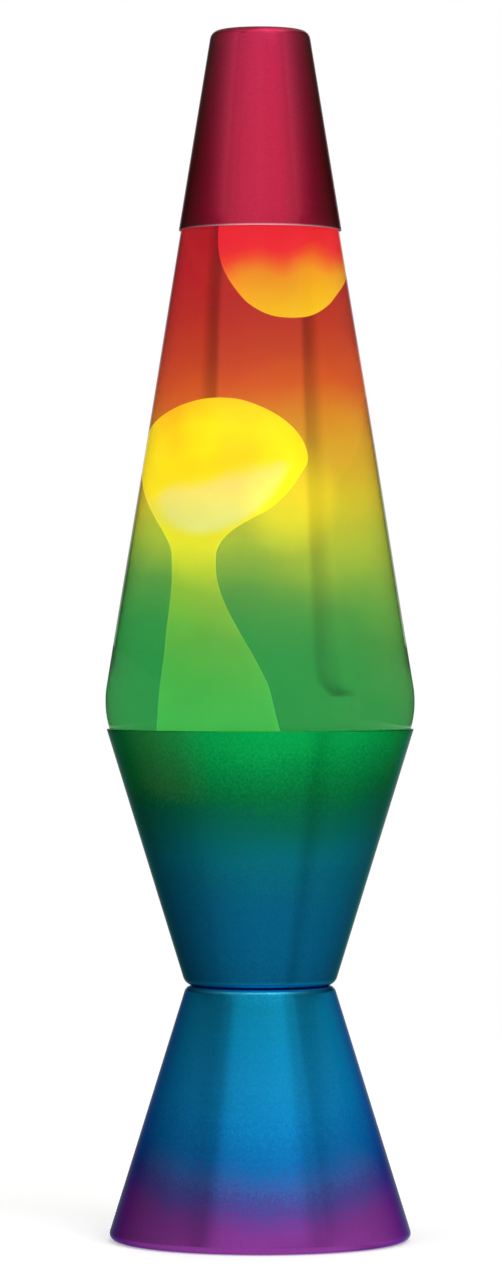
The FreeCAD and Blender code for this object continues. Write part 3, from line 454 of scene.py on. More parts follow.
def sprayedLacquer(
    name, low, high, stops, edge,
    roughness=0.22, waver=2.5, coat=0.04, sway=0.0, lathe=0.035, rim=None, leftOlive=None,
):
    material, tree, shader = newMaterial(
        name, Metallic=1.0, Roughness=roughness, Specular_Tint=edge,
        Anisotropic=spray["grain"], Anisotropic_Rotation=spray["grainTurn"],
        Coat_Weight=coat, Coat_Roughness=spray["coatRoughness"],
    )
    spot = addNode(tree, "TexCoord").outputs["Object"]
    height = addNode(tree, "SeparateXYZ", [spot]).outputs["Z"]
    wander = wanderNoise(tree, spot, spray["drift"], waver)[1]
    dots, scatter = wanderNoise(tree, spot, spray["dots"], spray["scatter"], detail=1.0, roughness=0.6)
    moved = addNode(tree, "Math", [height, wander], operation="ADD")
    moved = addNode(tree, "Math", [moved, scatter], operation="ADD")
    # the colours' border stands higher towards +X and -X than towards the front and back
    level = addNode(tree, "VectorMath", [spot, (1, 1, 0)], operation="MULTIPLY")
    level = addNode(tree, "VectorMath", [level], operation="NORMALIZE")
    across = addNode(tree, "SeparateXYZ", [level]).outputs["X"]
    square = addNode(tree, "Math", [across, across], operation="MULTIPLY")
    moved = addNode(tree, "Math", [square, -sway * mm, moved], operation="MULTIPLY_ADD")
    colour = heightColours(tree, moved, low, high, stops)
    if rim:  # painted highlight: a lighter colour along a turned edge, where the edge catches the light
        highlightBand = addNode(tree, "MapRange", [height, rim["start"] * mm, rim["end"] * mm], **smooth)
        paintedHighlight = {"Factor": highlightBand, "A": colour, "B": toLinear(rim["colour"])}
        colour = addNode(tree, "Mix", paintedHighlight, data_type="RGBA")
    if leftOlive:  # olive colour mixed in towards -X, above a level
        beside = addNode(tree, "MapRange", [across, leftOlive["from"], leftOlive["to"], 0, leftOlive["amount"]])
        over = addNode(tree, "MapRange", [moved, leftOlive["start"] * mm, leftOlive["end"] * mm], **smooth)
        amount = addNode(tree, "Math", [beside, over], operation="MULTIPLY")
        oliveMixed = {"Factor": amount, "A": colour, "B": toLinear(leftOlive["colour"])}
        colour = addNode(tree, "Mix", oliveMixed, data_type="RGBA")
    rings = latheRings(tree, spot)
    shade = addNode(tree, "MapRange", [rings, *wideRange, 1 - lathe, 1 + lathe])
    flecks = addNode(tree, "MapRange", [dots, *noiseRange, 1 - spray["fleck"], 1 + spray["fleck"]])
    shade = addNode(tree, "Math", [shade, flecks], operation="MULTIPLY")
    tint = addNode(tree, "VectorMath", {0: colour, "Scale": shade}, operation="SCALE")
    smoother, rougher = roughness - spray["satin"], roughness + spray["satin"]
    satin = addNode(tree, "MapRange", [rings, *fullRange, smoother, rougher])
    relief = addNode(tree, "Bump", {"Height": rings, "Strength": 0.06, "Distance": spray["relief"] * mm})
    around = addNode(tree, "Tangent", direction_type="RADIAL", axis="Z")
    feed(shader, {"Base Color": tint, "Roughness": satin, "Normal": relief, "Tangent": around})
    return material


# Stand: lower spun cone, rolled in at the foot, flat at the waist
stand = {"foot": 46.6, "top": 22.5, "height": 77.4, "wall": 0.6, "hem": 6.0, "hole": 13.6}
standLean = (stand["foot"] - stand["top"]) / stand["height"]
standSkin = stand["wall"] * math.hypot(1, standLean)
standLacquer = sprayedLacquer(
    "sprayedVioletBlueLacquer", 0, 78,
    [
        (0, "#8E3B98"), (5, "#863B96"), (9, "#704098"), (12.5, "#55479B"), (16, "#47529F"),
        (19, "#3B60AB"), (22, "#2768B0"), (25.5, "#1070B6"), (31, "#0B79BB"), (38, "#0D85C2"),
        (48, "#1088BE"), (60, "#0A87B5"), (72, "#0A84AA"), (77.5, "#0D8CB4"),
    ],
    # the rim colour is a painted highlight along the stand's top edge at the waist
    "#98A8D4", waver=1.6, sway=10.0, rim={"start": 75.6, "end": 77.0, "colour": "#50CCEC"},
)
standCorners = [
    (stand["foot"] - stand["hem"], 0, 0.2),
    (stand["foot"], 0, 2.0),
    (stand["top"], stand["height"], 2.5),
    (stand["hole"], stand["height"], 0.15),
    (stand["hole"], stand["height"] - stand["wall"], 0.15),
    (stand["top"] + standLean * stand["wall"] - standSkin, stand["height"] - stand["wall"], 1.9),
    (stand["foot"] - standLean * stand["wall"] - standSkin, stand["wall"], 1.4),
    (stand["foot"] - stand["hem"], stand["wall"], 0.2),
]
standShell = turnPiece(
    "standShell", standCorners, True, "spun", "base", "stand_paint", standLacquer, ["stand_cone"]
)
# hole low in the back, square to the wall, for the grommet
inlet = {"height": 15.0, "radius": 5.5, "drill": 12}
inletReach = stand["foot"] - standLean * inlet["height"]
drill(standShell, (0, inletReach, inlet["height"]), (0, 1, standLean), inlet["radius"], inlet["drill"])

# Holder: upper spun cone that the globe stands in
holder = {"floor": 22.7, "rim": 46.8, "low": 77.4, "high": 155.5, "wall": 0.6, "hole": 13.6}
holderLean = (holder["rim"] - holder["floor"]) / (holder["high"] - holder["low"])
holderSecant = math.hypot(1, holderLean)
holderSkin = holder["wall"] * holderSecant
holderLacquer = sprayedLacquer(
    "sprayedGreenBlueLacquer", 77, 156,
    [
        (78, "#02557A"), (88, "#025C82"), (100, "#045E80"), (109, "#04637A"), (116, "#046978"),
        (121, "#03696C"), (126, "#046759"), (131, "#04684B"), (136, "#04713B"), (140.5, "#02803E"),
        (145, "#028E44"), (150, "#03A04A"), (155.5, "#04A64C"),
    ],
    # the rim colour is a painted highlight along the holder's bottom edge at the waist
    "#8CBEB8", sway=3.0, rim={"start": 79.8, "end": 78.0, "colour": "#1488C0"},
    # olive colour mixed in towards -X, above 131.5 mm
    leftOlive={"from": -0.35, "to": -0.95, "start": 131.5, "end": 138.0, "colour": "#468240", "amount": 0.6},
)
holderCorners = [
    (holder["hole"], holder["low"], 0.15),
    (holder["floor"], holder["low"], 3.5),
    (holder["rim"], holder["high"], 0.21),
    (holder["rim"] - holderSkin, holder["high"], 0.21),
    (holder["floor"] + holderLean * holder["wall"] - holderSkin, holder["low"] + holder["wall"], 2.9),
    (holder["hole"], holder["low"] + holder["wall"], 0.15),
]
# Bare spun aluminium inside, in the bulb's light: satin grey metal with lathe rings, warm and bright,
# dimmer only down beside the socket
bareAluminium, tree, shader = newMaterial(
    "bareSpunAluminiumInBulbLight", Metallic=1.0, Roughness=0.34, Emission_Strength=0.75
)
spot = addNode(tree, "TexCoord").outputs["Object"]
tone = addNode(tree, "ValToRGB", [latheRings(tree, spot)], list(zip(noiseRange, ("#B4B5B7", "#D2D3D4"))))
height = addNode(tree, "SeparateXYZ", [spot]).outputs["Z"]
share = addNode(tree, "MapRange", [height, holder["low"] * mm, holder["high"] * mm])
glow = addNode(
    tree, "ValToRGB", [share],
    [(0.0, "#8A6238"), (0.25, "#D8A868"), (0.5, "#D8B070"), (0.8, "#DCBA80"), (1.0, "#D8B888")],
)
feed(shader, {"Base Color": tone, "Emission Color": glow})


def insideHolder(face):  # the inside looks up, the outside down, and the rim's edge stays lacquered
    return face.normal.z > 0.05 and face.center.z < (holder["high"] - holder["wall"]) * mm


turnPiece(
    "holderShell", holderCorners, True, "spun", "base", "holder_paint", holderLacquer, ["holder_cone"],
    lining=(bareAluminium, insideHolder),
)
print("base cones turned")

# Globe: blown bottle with raised bottom (punt), soft shoulder, long taper and crown finish
globe = {
    "bottom": 125.5, "shoulder": 161.8, "coneTop": 328.0, "coneTopRadius": 20.74, "neck": 338.0, "top": 357.5,
    "wall": 2.8, "seatGap": 0.25, "neckRadius": 12.38, "lipRadius": 13.28, "mouth": 8.48, "lip": 5.1,
    "underLip": 6.0, "puntRise": 4.5, "puntTop": 9.0, "puntFoot": 22.0, "innerBend": 27.2,
}


def seatRadius(z):
    seat = (holder["wall"] + globe["seatGap"]) * holderSecant
    return holder["rim"] - seat + holderLean * (z - holder["high"])


shoulderRadius = seatRadius(globe["shoulder"])
globeLean = (shoulderRadius - globe["coneTopRadius"]) / (globe["coneTop"] - globe["shoulder"])
globeSecant = math.hypot(1, globeLean)


def globeRadius(z):
    return shoulderRadius - globeLean * (z - globe["shoulder"])


seatWall = globe["wall"] * holderSecant
taperWall = globe["wall"] * globeSecant
innerRise = (seatWall - taperWall) / (holderLean + globeLean)
innerBottom = globe["bottom"] + globe["wall"]
innerTop = globe["coneTop"] - globe["wall"] / 2
innerShoulder = (shoulderRadius + holderLean * innerRise - seatWall, globe["shoulder"] + innerRise)

# Blown soda glass with a fired-on translucent coat: clear and hard, tinted from red to green,
# with the slow waviness of blown walls; the coat holds some of the light from inside
coat = {
    "low": 156, "high": 340, "drift": 30, "wander": 4, "lit": 0.4,
    "band": 235, "pull": -6.0,  # the warm band is sprayed wider towards +X
    "tints": [
        (156, "#65BC82"), (164, "#65BC82"), (180, "#70BD82"), (195, "#97C280"), (210, "#CCD77A"),
        (225, "#E2D769"), (240, "#E2C564"), (256, "#DF9060"), (268, "#D57F60"), (286, "#CF6860"),
        (301, "#CE5460"), (340, "#C44C60"),
    ],
    "glows": [
        (156, "#2C9848"), (164, "#2C9848"), (180, "#36984A"), (195, "#5FA244"), (210, "#A0BC3C"),
        (225, "#D8C82C"), (240, "#DCA82C"), (256, "#DA6C28"), (268, "#CC4C2A"), (286, "#C0342A"),
        (301, "#B0232A"), (340, "#A82028"),
    ],
}
# beside the wax's head its yellow light hangs in the front of the coat
halo = {
    "middle": (8.5, 0, 225), "across": 14, "up": 16, "front": 12, "fade": (1.25, 0.35), "colour": "#FFEC10",
}
globeGlass, tree, shader = newMaterial(
    "blownGlassWithFadedCoat", Roughness=0.02, IOR=1.5, Transmission_Weight=1.0, Specular_Tint="#8C8C8C",
    Emission_Strength=0.20,
)
spot = addNode(tree, "TexCoord").outputs["Object"]
axes = addNode(tree, "SeparateXYZ", [spot])
height = axes.outputs["Z"]
wander = wanderNoise(tree, spot, coat["drift"], coat["wander"])[1]
moved = addNode(tree, "Math", [height, wander], operation="ADD")
fromBand = addNode(tree, "Math", [height, coat["band"] * mm], operation="SUBTRACT")
pull = addNode(tree, "Math", [fromBand, axes.outputs["X"]], operation="MULTIPLY")
moved = addNode(tree, "Math", [pull, coat["pull"], moved], operation="MULTIPLY_ADD")
tint = heightColours(tree, moved, coat["low"], coat["high"], coat["tints"])
glow = heightColours(tree, moved, coat["low"], coat["high"], coat["glows"])
glow = addNode(tree, "VectorMath", {0: glow, "Scale": coat["lit"]}, operation="SCALE")
away = addNode(tree, "VectorMath", [spot, Vector(halo["middle"]) * mm], operation="SUBTRACT")
scale = (1 / (halo["across"] * mm), 0, 1 / (halo["up"] * mm))
away = addNode(tree, "VectorMath", [away, scale], operation="MULTIPLY")
away = addNode(tree, "VectorMath", [away], operation="LENGTH")
amount = addNode(tree, "MapRange", [away, *halo["fade"]], **smooth)
front = addNode(tree, "MapRange", [axes.outputs["Y"], halo["front"] * mm, -halo["front"] * mm])
amount = addNode(tree, "Math", [amount, front], operation="MULTIPLY")
lit = {"Factor": amount, "A": glow, "B": toLinear(halo["colour"])}
glow = addNode(tree, "Mix", lit, data_type="RGBA")
feed(shader, {"Base Color": tint, "Emission Color": glow})

# waves of blown walls, 0.05 mm high: share of the height, waves round the globe, and rise in a radian
blown = {"height": 0.05, "full": 20, "waves": ((1.0, 3, 17), (0.8, 5, -23))}


def blownRipple(angle, r, z):
    wave = sum(share * math.sin(count * angle + z / rise) for share, count, rise in blown["waves"])
    return r + blown["height"] * wave * min(r / blown["full"], 1)


globeCorners = [
    (0, globe["bottom"] + globe["puntRise"], 0),
    (globe["puntTop"], globe["bottom"] + globe["puntRise"], 12),
    (globe["puntFoot"], globe["bottom"], 12),
    (seatRadius(globe["bottom"]), globe["bottom"], 6),
    (shoulderRadius, globe["shoulder"], 30),
    (globe["coneTopRadius"], globe["coneTop"], 8),
    (globe["neckRadius"], globe["neck"], 8),
    (globe["neckRadius"], globe["top"] - globe["underLip"], 0.4),
    (globe["lipRadius"], globe["top"] - globe["lip"], 0.8),
    (globe["lipRadius"], globe["top"], 0.8),
    (globe["mouth"], globe["top"], 0.8),
    (globe["mouth"], globe["neck"], 5.2),
    (globeRadius(innerTop) - taperWall, innerTop, 5.2),
    (*innerShoulder, globe["innerBend"]),
    (seatRadius(innerBottom) - seatWall, innerBottom, 4),
    (globe["puntFoot"], innerBottom, 12),
    (globe["puntTop"], innerBottom + globe["puntRise"], 12),
    (0, innerBottom + globe["puntRise"], 0),
]
turnPiece(
    "globeBottle", globeCorners, False, "blown", "globe", "globe_glass", globeGlass, ["globe_bottle"],
    ripple=blownRipple,
)

# Clear dyeless liquid: no colour of its own, a hint of haze where it was stirred. Its skin lies a little
# inside the glass wall, so that light goes straight from one to the other
fluid = {"low": 139.0, "level": 323.0, "bite": 0.15, "haze": 25}
clearLiquid, tree, shader = newMaterial("clearLampLiquid", Roughness=0.0, IOR=1.40, Transmission_Weight=1.0)
feed(shader, {"Base Color": grainTone(tree, fluid["haze"], "#F6F4EE", "#FFFFFF")[1]})
liquidCorners = [
    (0, fluid["low"], 0),
    (seatRadius(fluid["low"]) - seatWall + fluid["bite"], fluid["low"], 0),
    (innerShoulder[0] + fluid["bite"], innerShoulder[1], globe["innerBend"]),
    (globeRadius(fluid["level"]) - taperWall + fluid["bite"], fluid["level"], 0),
    (0, fluid["level"], 0),
]
turnPiece("lampLiquid", liquidCorners, False, "blown", "globe", "liquid", clearLiquid, ["liquid"])
print("globe and liquid turned")

# Warm paraffin wax lit through from the bulb below: soft, milky, glows more strongly where it is thick
waxBody = {"swirl": 16, "wander": 1.6, "mottle": (0.94, 1.05), "relief": 0.6}


def glowingWax(name, low, high, stops, strength, bulbLitUnderside=None, lobes=None):
    material, tree, shader = newMaterial(
        name, Base_Color="#8C7A4A", Roughness=0.42, Specular_IOR_Level=0.3, Emission_Strength=strength
    )
    spot = addNode(tree, "TexCoord").outputs["Object"]
    axes = addNode(tree, "SeparateXYZ", [spot])
    across, height = axes.outputs["X"], axes.outputs["Z"]
    swirl, wander = wanderNoise(tree, spot, waxBody["swirl"], waxBody["wander"])
    moved = addNode(tree, "Math", [height, wander], operation="ADD")
    if lobes:  # the colours' border hangs in lobes across the drop
        pace = 2 * math.pi / (lobes["width"] * mm)
        phase = addNode(tree, "Math", [across, pace, -pace * lobes["middle"] * mm], operation="MULTIPLY_ADD")
        swing = addNode(tree, "Math", [phase], operation="COSINE")
        moved = addNode(tree, "Math", [swing, lobes["depth"] * mm, moved], operation="MULTIPLY_ADD")
        lean = lobes["slant"]
        tilt = addNode(tree, "Math", [across, -lean, lean * lobes["middle"] * mm], operation="MULTIPLY_ADD")
        moved = addNode(tree, "Math", [moved, tilt], operation="ADD")
    glow = heightColours(tree, moved, low, high, stops)
    if bulbLitUnderside:  # painted light: the underside of the column's head, below a slanting plane, paler where the bulb shines on it
        slant = addNode(tree, "Math", [across, bulbLitUnderside["slant"], bulbLitUnderside["level"] * mm], operation="MULTIPLY_ADD")
        below = addNode(tree, "Math", [slant, moved], operation="SUBTRACT")
        start, end = bulbLitUnderside["blur"]
        under = addNode(tree, "MapRange", [below, start * mm, end * mm], **smooth)
        # how far out a place lies in the head: 0 at its heart, 1 at its skin
        foot = bulbLitUnderside["heart"] - bulbLitUnderside["drop"]
        down = addNode(tree, "MapRange", [height, bulbLitUnderside["heart"] * mm, foot * mm], clamp=False)
        aside = addNode(tree, "Math", [down, bulbLitUnderside["trail"] * mm, across], operation="MULTIPLY_ADD")
        aside = addNode(tree, "Math", [aside, bulbLitUnderside["middle"] * mm], operation="SUBTRACT")
        aside = addNode(tree, "Math", [aside, bulbLitUnderside["width"] * mm], operation="DIVIDE")
        out = addNode(tree, "CombineXYZ", [aside, down])
        out = addNode(tree, "VectorMath", [out], operation="LENGTH")
        inside = addNode(tree, "MapRange", [out, *bulbLitUnderside["skin"]], **smooth)
        amount = addNode(tree, "Math", [under, inside], operation="MULTIPLY")
        pale = {"Factor": amount, "A": glow, "B": toLinear(bulbLitUnderside["colour"])}
        glow = addNode(tree, "Mix", pale, data_type="RGBA")
    mottle = addNode(tree, "MapRange", [swirl, *noiseRange, *waxBody["mottle"]])
    glow = addNode(tree, "VectorMath", {0: glow, "Scale": mottle}, operation="SCALE")
    relief = addNode(tree, "Bump", {"Height": swirl, "Strength": 0.15, "Distance": waxBody["relief"] * mm})
    feed(shader, {"Emission Color": glow, "Normal": relief})
    return material


# Faces of a tube of rings, shut at both ends
def joinRings(count, sides):
    faces = []
    for ring in range(count - 1):
        low, high = ring * sides, (ring + 1) * sides
        for side in range(sides):
            beside = (side + 1) % sides
            faces.append((low + side, low + beside, high + beside, high + side))
    faces.append(list(range(sides))[::-1])
    faces.append([(count - 1) * sides + side for side in range(sides)])
    return faces


# Stack of round sections (height, centre, radius), smoothed along the stack
def stackSections(sections, sides, steps):
    rings = []
    for i in range(len(sections) - 1):
        a, b, c, d = (sections[min(max(i + k, 0), len(sections) - 1)] for k in (-1, 0, 1, 2))
        for step in range(steps):
            t = step / steps
            ring = []
            for p, q, r, s in zip(a, b, c, d):
                bend, swell = 2 * p - 5 * q + 4 * r - s, 3 * q - p - 3 * r + s
                ring.append(0.5 * (2 * q + (r - p) * t + bend * t * t + swell * t ** 3))
            rings.append(ring)
    rings.append(sections[-1])
    points = []
    for z, centre, radius in rings:
        for side in range(sides):
            angle = 2 * math.pi * side / sides
            points.append((centre + max(radius, 0) * math.cos(angle), max(radius, 0) * math.sin(angle), z))
    return points, joinRings(len(rings), sides)


# Wax column: pool on the globe's bottom, leaning stalk and round head
waxColumn = {
    "sides": 128, "steps": 5, "glow": 2.2,
    "pool": [
        (128.35, 0, 30.2), (128.6, 0, 31.9), (129.6, 0, 33.9), (131.6, 0, 35.4), (136.0, 0, 37.1),
        (140.5, 0, 38.4),
    ],
    "stalk": [
        (141.7, -0.3, 38.0), (142.3, -1.8, 34.8), (143.3, -4.2, 30.2), (145.6, -6.6, 24.2),
        (149.6, -8.2, 18.9), (154.0, -8.9, 15.6), (158.6, -9.3, 13.7), (168.0, -10.3, 11.7),
        (176.5, -11.5, 9.7), (184.0, -12.8, 7.9), (191.8, -13.9, 6.1), (198.4, -14.5, 5.1),
        (204.2, -14.7, 4.9), (208.8, -14.6, 5.3), (213.4, -14.1, 7.4), (217.4, -12.7, 10.6),
        (220.8, -11.2, 13.5), (226.0, -10.1, 16.4), (230.8, -9.4, 18.1), (235.0, -8.8, 19.1),
        (239.7, -9.0, 18.8), (244.4, -9.1, 16.9), (248.8, -9.2, 13.4), (252.2, -9.2, 8.7),
        (254.1, -8.9, 4.2), (254.6, -8.8, 0.4),
    ],
    "colours": [
        (128, "#5F8A50"), (150, "#66985A"), (160, "#6DA45E"), (182, "#9A9B4E"), (197, "#A4A746"),
        (208, "#C8B83A"), (222, "#C2B624"), (236, "#C0C600"), (248, "#C4EA18"), (256, "#C8F628"),
    ],
    # painted bulb light on the head's underside: where it lies and how pale it is
    "bulbLitUnderside": {
        "slant": 0.30, "level": 233.8, "blur": (-1.6, 3.2), "colour": "#BCB9C0",
        "heart": 235, "drop": 26, "middle": -8.8, "width": 19.1, "trail": 6.4, "skin": (0.90, 0.74),
    },
}
columnWax = glowingWax(
    "paraffinWaxLitFromBelow", 128, 257, waxColumn["colours"], waxColumn["glow"], bulbLitUnderside=waxColumn["bulbLitUnderside"]
)
makePiece(
    "waxColumn",
    *stackSections(waxColumn["pool"] + waxColumn["stalk"], waxColumn["sides"], waxColumn["steps"]),
    "globe", "wax", columnWax, ["wax_column"], sharp=60,
)

# Drifting wax: one free drop, drawn out below
waxDrop = {
    "sides": 96, "steps": 4, "glow": 3.2,
    "sections": [
        (279.0, 6.8, 0.3), (279.4, 6.75, 3.4), (280.8, 6.6, 6.2), (283.5, 6.35, 9.0), (287.0, 6.2, 11.1),
        (291.0, 6.25, 13.1), (295.0, 6.0, 14.2), (299.0, 5.8, 14.7), (303.0, 5.7, 14.8), (307.0, 5.6, 14.6),
        (311.0, 5.3, 13.6), (314.5, 5.0, 11.5), (317.0, 5.0, 8.6), (318.1, 5.0, 5.3), (318.5, 5.0, 2.2),
        (318.6, 5.0, 0.3),
    ],
    "colours": [
        (279, "#AAFF26"), (287, "#AAF826"), (292.5, "#A8E42A"), (295.5, "#A8B432"), (298, "#A8743C"),
        (300.5, "#A8444A"), (304, "#A83C4A"), (319, "#A63A4A"),
    ],
    "lobes": {"middle": 5.8, "width": 16.0, "depth": 1.4, "slant": 0.08},
}
dropWax = glowingWax(
    "paraffinWaxLitFromBelowDrop", 279, 319, waxDrop["colours"], waxDrop["glow"], lobes=waxDrop["lobes"]
)
makePiece(
    "waxDrop", *stackSections(waxDrop["sections"], waxDrop["sides"], waxDrop["steps"]),
    "drifting_wax", "wax", dropWax, ["wax_blob"], sharp=60,
)
print("wax formed")

# Cap: spun cone over the globe's neck
cap = {"rim": 307.3, "top": 368.3, "wall": 0.5, "gap": 0.2}
capLacquer = sprayedLacquer(
    "sprayedRaspberryLacquer", 307, 369,
    [(307, "#C40A3E"), (318, "#C80A40"), (335, "#C80A42"), (355, "#C80A46"), (368.3, "#C40A48")],
    "#A86070", roughness=0.28, waver=1.0, coat=0.6, lathe=0.018,
    # the rim colour is a painted highlight along the cap's bottom edge
    rim={"start": 308.0, "end": 307.4, "colour": "#E8B4BE"},
)
capBore = cap["gap"] * globeSecant
capSkin = (cap["gap"] + cap["wall"]) * globeSecant
capCorners = [
    (0, cap["top"] - cap["wall"], 0),
    (globeRadius(cap["top"] - cap["wall"]) + capBore, cap["top"] - cap["wall"], 2.5),
    (globeRadius(cap["rim"]) + capBore, cap["rim"], 0.17),
    (globeRadius(cap["rim"]) + capSkin, cap["rim"], 0.17),
    (globeRadius(cap["top"]) + capSkin, cap["top"], 3.0),
    (0, cap["top"], 0),
]
turnPiece("capShell", capCorners, False, "spun", "cap", "cap_paint", capLacquer, ["cap_cone"])
print("cap turned")


# Put a finish on a node that keeps its shape
def dress(node, material):
    nodes[node].data.materials.clear()
    nodes[node].data.materials.append(material)


# Finishes of the inner pieces: the two colours that the grain mixes, metallic, roughness and how far the
# grain moves it, the grain's size and depth in millimetres, and the pieces that wear the finish
finishes = {
    # steel with bright zinc: pale grey, cloudy spangle, faint blue cast
    "zincPlatedSteel": (
        "#8E9296", "#B9BCBE", 1.0, 0.34, 0.10, 3.0, 0.02, ["socket_bracket", "pipe_washer", "pipe_nut"],
    ),
    # soft aluminium pressed over by a rivet set: satin, slightly scuffed
    "pressedAluminium": ("#B9BABC", "#D6D7D8", 1.0, 0.36, 0.12, 1.2, 0.03, ["bracket_rivets"]),
    # phenolic resin moulded under heat: near black, dull gloss, faint flow mottle
    "mouldedPhenolic": ("#17110F", "#2A211D", 0.0, 0.38, 0.10, 2.2, 0.03, ["socket_body"]),
    # rolled brass sheet, stamped: warm yellow metal with darker tarnish in patches
    "stampedBrass": (
        "#A8823C", "#D9B868", 1.0, 0.28, 0.14, 2.5, 0.01, ["terminal_plates", "terminal_screws"],
    ),
    # spring bronze strip: redder than brass, fine grain from the rolls
    "rolledBronze": ("#9A5F33", "#C68A58", 1.0, 0.30, 0.10, 0.6, 0.01, ["centre_contact"]),
    # hardboard pressed from wood fibre: brown, matted fibres, dull
    "pressedHardboard": ("#4A3220", "#7A5636", 0.0, 0.78, 0.12, 1.0, 0.12, ["bottom_board"]),
    # needled wool felt: black, soft fuzz without gloss
    "needledFelt": ("#0F0F10", "#2C2C2E", 0.0, 0.95, 0.04, 0.7, 0.25, ["felt_pad"]),
    # moulded rubber: black, satin, fine mould grain
    "mouldedRubber": ("#101011", "#232324", 0.0, 0.55, 0.10, 0.5, 0.04, ["cord_grommet"]),
    # drop of lead-tin solder: dull grey, dimpled
    "castSolder": ("#7C7E82", "#A8AAAD", 1.0, 0.42, 0.12, 0.9, 0.08, ["bulb_eyelet"]),
    # fused black glass: deep black, wet gloss, slight ripple
    "fusedBlackGlass": ("#08080B", "#1A1A20", 0.0, 0.12, 0.06, 3.0, 0.05, ["bulb_insulator"]),
    # nickel-iron lead wire, drawn: warm grey, fine grain from the die
    "drawnNickelWire": ("#8D8578", "#B2AA9C", 1.0, 0.30, 0.08, 0.4, 0.01, ["bulb_leads"]),
    # polyethylene foam liner: white, matt, tiny cells
    "foamedPolyethylene": ("#D4D6D6", "#EEF0F0", 0.0, 0.72, 0.10, 0.5, 0.06, ["crown_liner"]),
    # bright drawn steel wire: clean mirror, faint grain from the die
    "brightSteelWire": ("#A4A6A9", "#C9CBCD", 1.0, 0.20, 0.08, 0.8, 0.01, ["heating_coil"]),
    # tinplate pressed into a crown: straw-coloured lacquer over bright tin
    "pressedTinplate": ("#B4A474", "#D3C69B", 1.0, 0.26, 0.10, 2.0, 0.01, []),
    # drawn brass of the screw threads: brighter and smoother than the stamped sheet
    "drawnBrass": ("#B08A42", "#DDBD70", 1.0, 0.24, 0.12, 1.6, 0.01, []),
}
made = {}
for name, (dark, light, metallic, roughness, spread, size, depth, wearers) in finishes.items():
    material, tree, shader = newMaterial(name, Metallic=metallic, Roughness=roughness)
    grain, tone = grainTone(tree, size, dark, light, detail=4.0, roughness=0.6)
    satin = addNode(tree, "MapRange", [grain, *wideRange, roughness - spread / 2, roughness + spread / 2])
    relief = addNode(tree, "Bump", {"Height": grain, "Strength": 0.5, "Distance": depth * mm})
    feed(shader, {"Base Color": tone, "Roughness": satin, "Normal": relief})
    made[name] = material
    for node in wearers:
        dress(node, material)
print("inner finishes:", len(made))

# Lamp glass: thin blown bulb and its pressed stem, clear with a faint grey smoke from use, which the
# filament's light makes glow
bulb = {
    "neckLow": 65.1, "baseTop": 80.2, "belly": 97.1, "top": 119.1, "neck": 7.7, "radius": 17.5, "wall": 0.6,
    "smoke": 18, "relief": 0.3,
}
bulbGlass, tree, shader = newMaterial(
    "blownBulbGlass", Roughness=0.03, IOR=1.5, Transmission_Weight=1.0,
    Emission_Color="#FFD9A4", Emission_Strength=0.25,
)
smoke, tone = grainTone(tree, bulb["smoke"], "#E9E7E2", "#F8F7F4")
relief = addNode(tree, "Bump", {"Height": smoke, "Strength": 0.1, "Distance": bulb["relief"] * mm})
feed(shader, {"Base Color": tone, "Normal": relief})
dress("bulb_stem", bulbGlass)
bulbCorners = [
    (0, bulb["top"], 0),
    (bulb["radius"], bulb["top"], 17.0),
    (bulb["radius"], bulb["belly"], 12.0),
    (bulb["neck"], bulb["baseTop"], 5.0),
    (bulb["neck"], bulb["neckLow"], 0.2),
    (bulb["neck"] - bulb["wall"], bulb["neckLow"], 0.2),
    (bulb["neck"] - bulb["wall"], bulb["baseTop"], 5.0),
    (bulb["radius"] - bulb["wall"], bulb["belly"], 11.4),
    (bulb["radius"] - bulb["wall"], bulb["top"] - bulb["wall"], 16.4),
    (0, bulb["top"] - bulb["wall"], 0),
]
turnPiece("bulbEnvelope", bulbCorners, False, "bulb", "bulb", "bulb_glass", bulbGlass, ["bulb_envelope"])

# Screw threads: base and shell share one right-handed thread, so they stay nested as the bulb turns
thread = {
    "pitch": 2.82, "depth": 0.26, "runOut": 1.2, "low": 66.2, "high": 77.6,
    "shellLow": 61.2, "shellHigh": 78.6,
}


def threadRipple(start, end):
    def ripple(angle, r, z):
        ease = min(max((z - start) / thread["runOut"], 0), 1) * min(max((end - z) / thread["runOut"], 0), 1)
        crest = math.cos(2 * math.pi * z / thread["pitch"] - angle)
        return r + ease * thread["depth"] * (crest - 1)
    return ripple


base = {"radius": 8.3, "wall": 0.3, "low": 64.7, "high": 80.2, "eyelet": 3.4, "taper": 0.1}
baseCorners = [
    (base["eyelet"], base["low"], 0),
    (base["radius"] - base["taper"], base["low"], 0.8),
    (base["radius"], base["high"], 0.1),
    (base["radius"] - base["wall"], base["high"], 0.1),
    (base["radius"] - base["wall"] - base["taper"], base["low"] + base["wall"], 0.5),
    (base["eyelet"], base["low"] + base["wall"], 0),
]
turnPiece(
    "bulbScrewBase", baseCorners, True, "thread", "bulb", "brass", made["drawnBrass"], ["bulb_base"],
    ripple=threadRipple(thread["low"], thread["high"]), sharp=50,
)
shell = {"bore": 8.55, "wall": 0.4, "low": 58.0, "high": 79.0, "flange": 6.2}
shellCorners = [
    (shell["flange"], shell["low"], 0.1),
    (shell["bore"] + shell["wall"], shell["low"], 0.4),
    (shell["bore"] + shell["wall"], shell["high"], 0.1),
    (shell["bore"], shell["high"], 0.1),
    (shell["bore"], shell["low"] + shell["wall"], 0.2),
    (shell["flange"], shell["low"] + shell["wall"], 0.1),
]
turnPiece(
    "socketScrewShell", shellCorners, True, "thread", "base", "brass", made["drawnBrass"], ["socket_shell"],
    ripple=threadRipple(thread["shellLow"], thread["shellHigh"]), sharp=50,
)

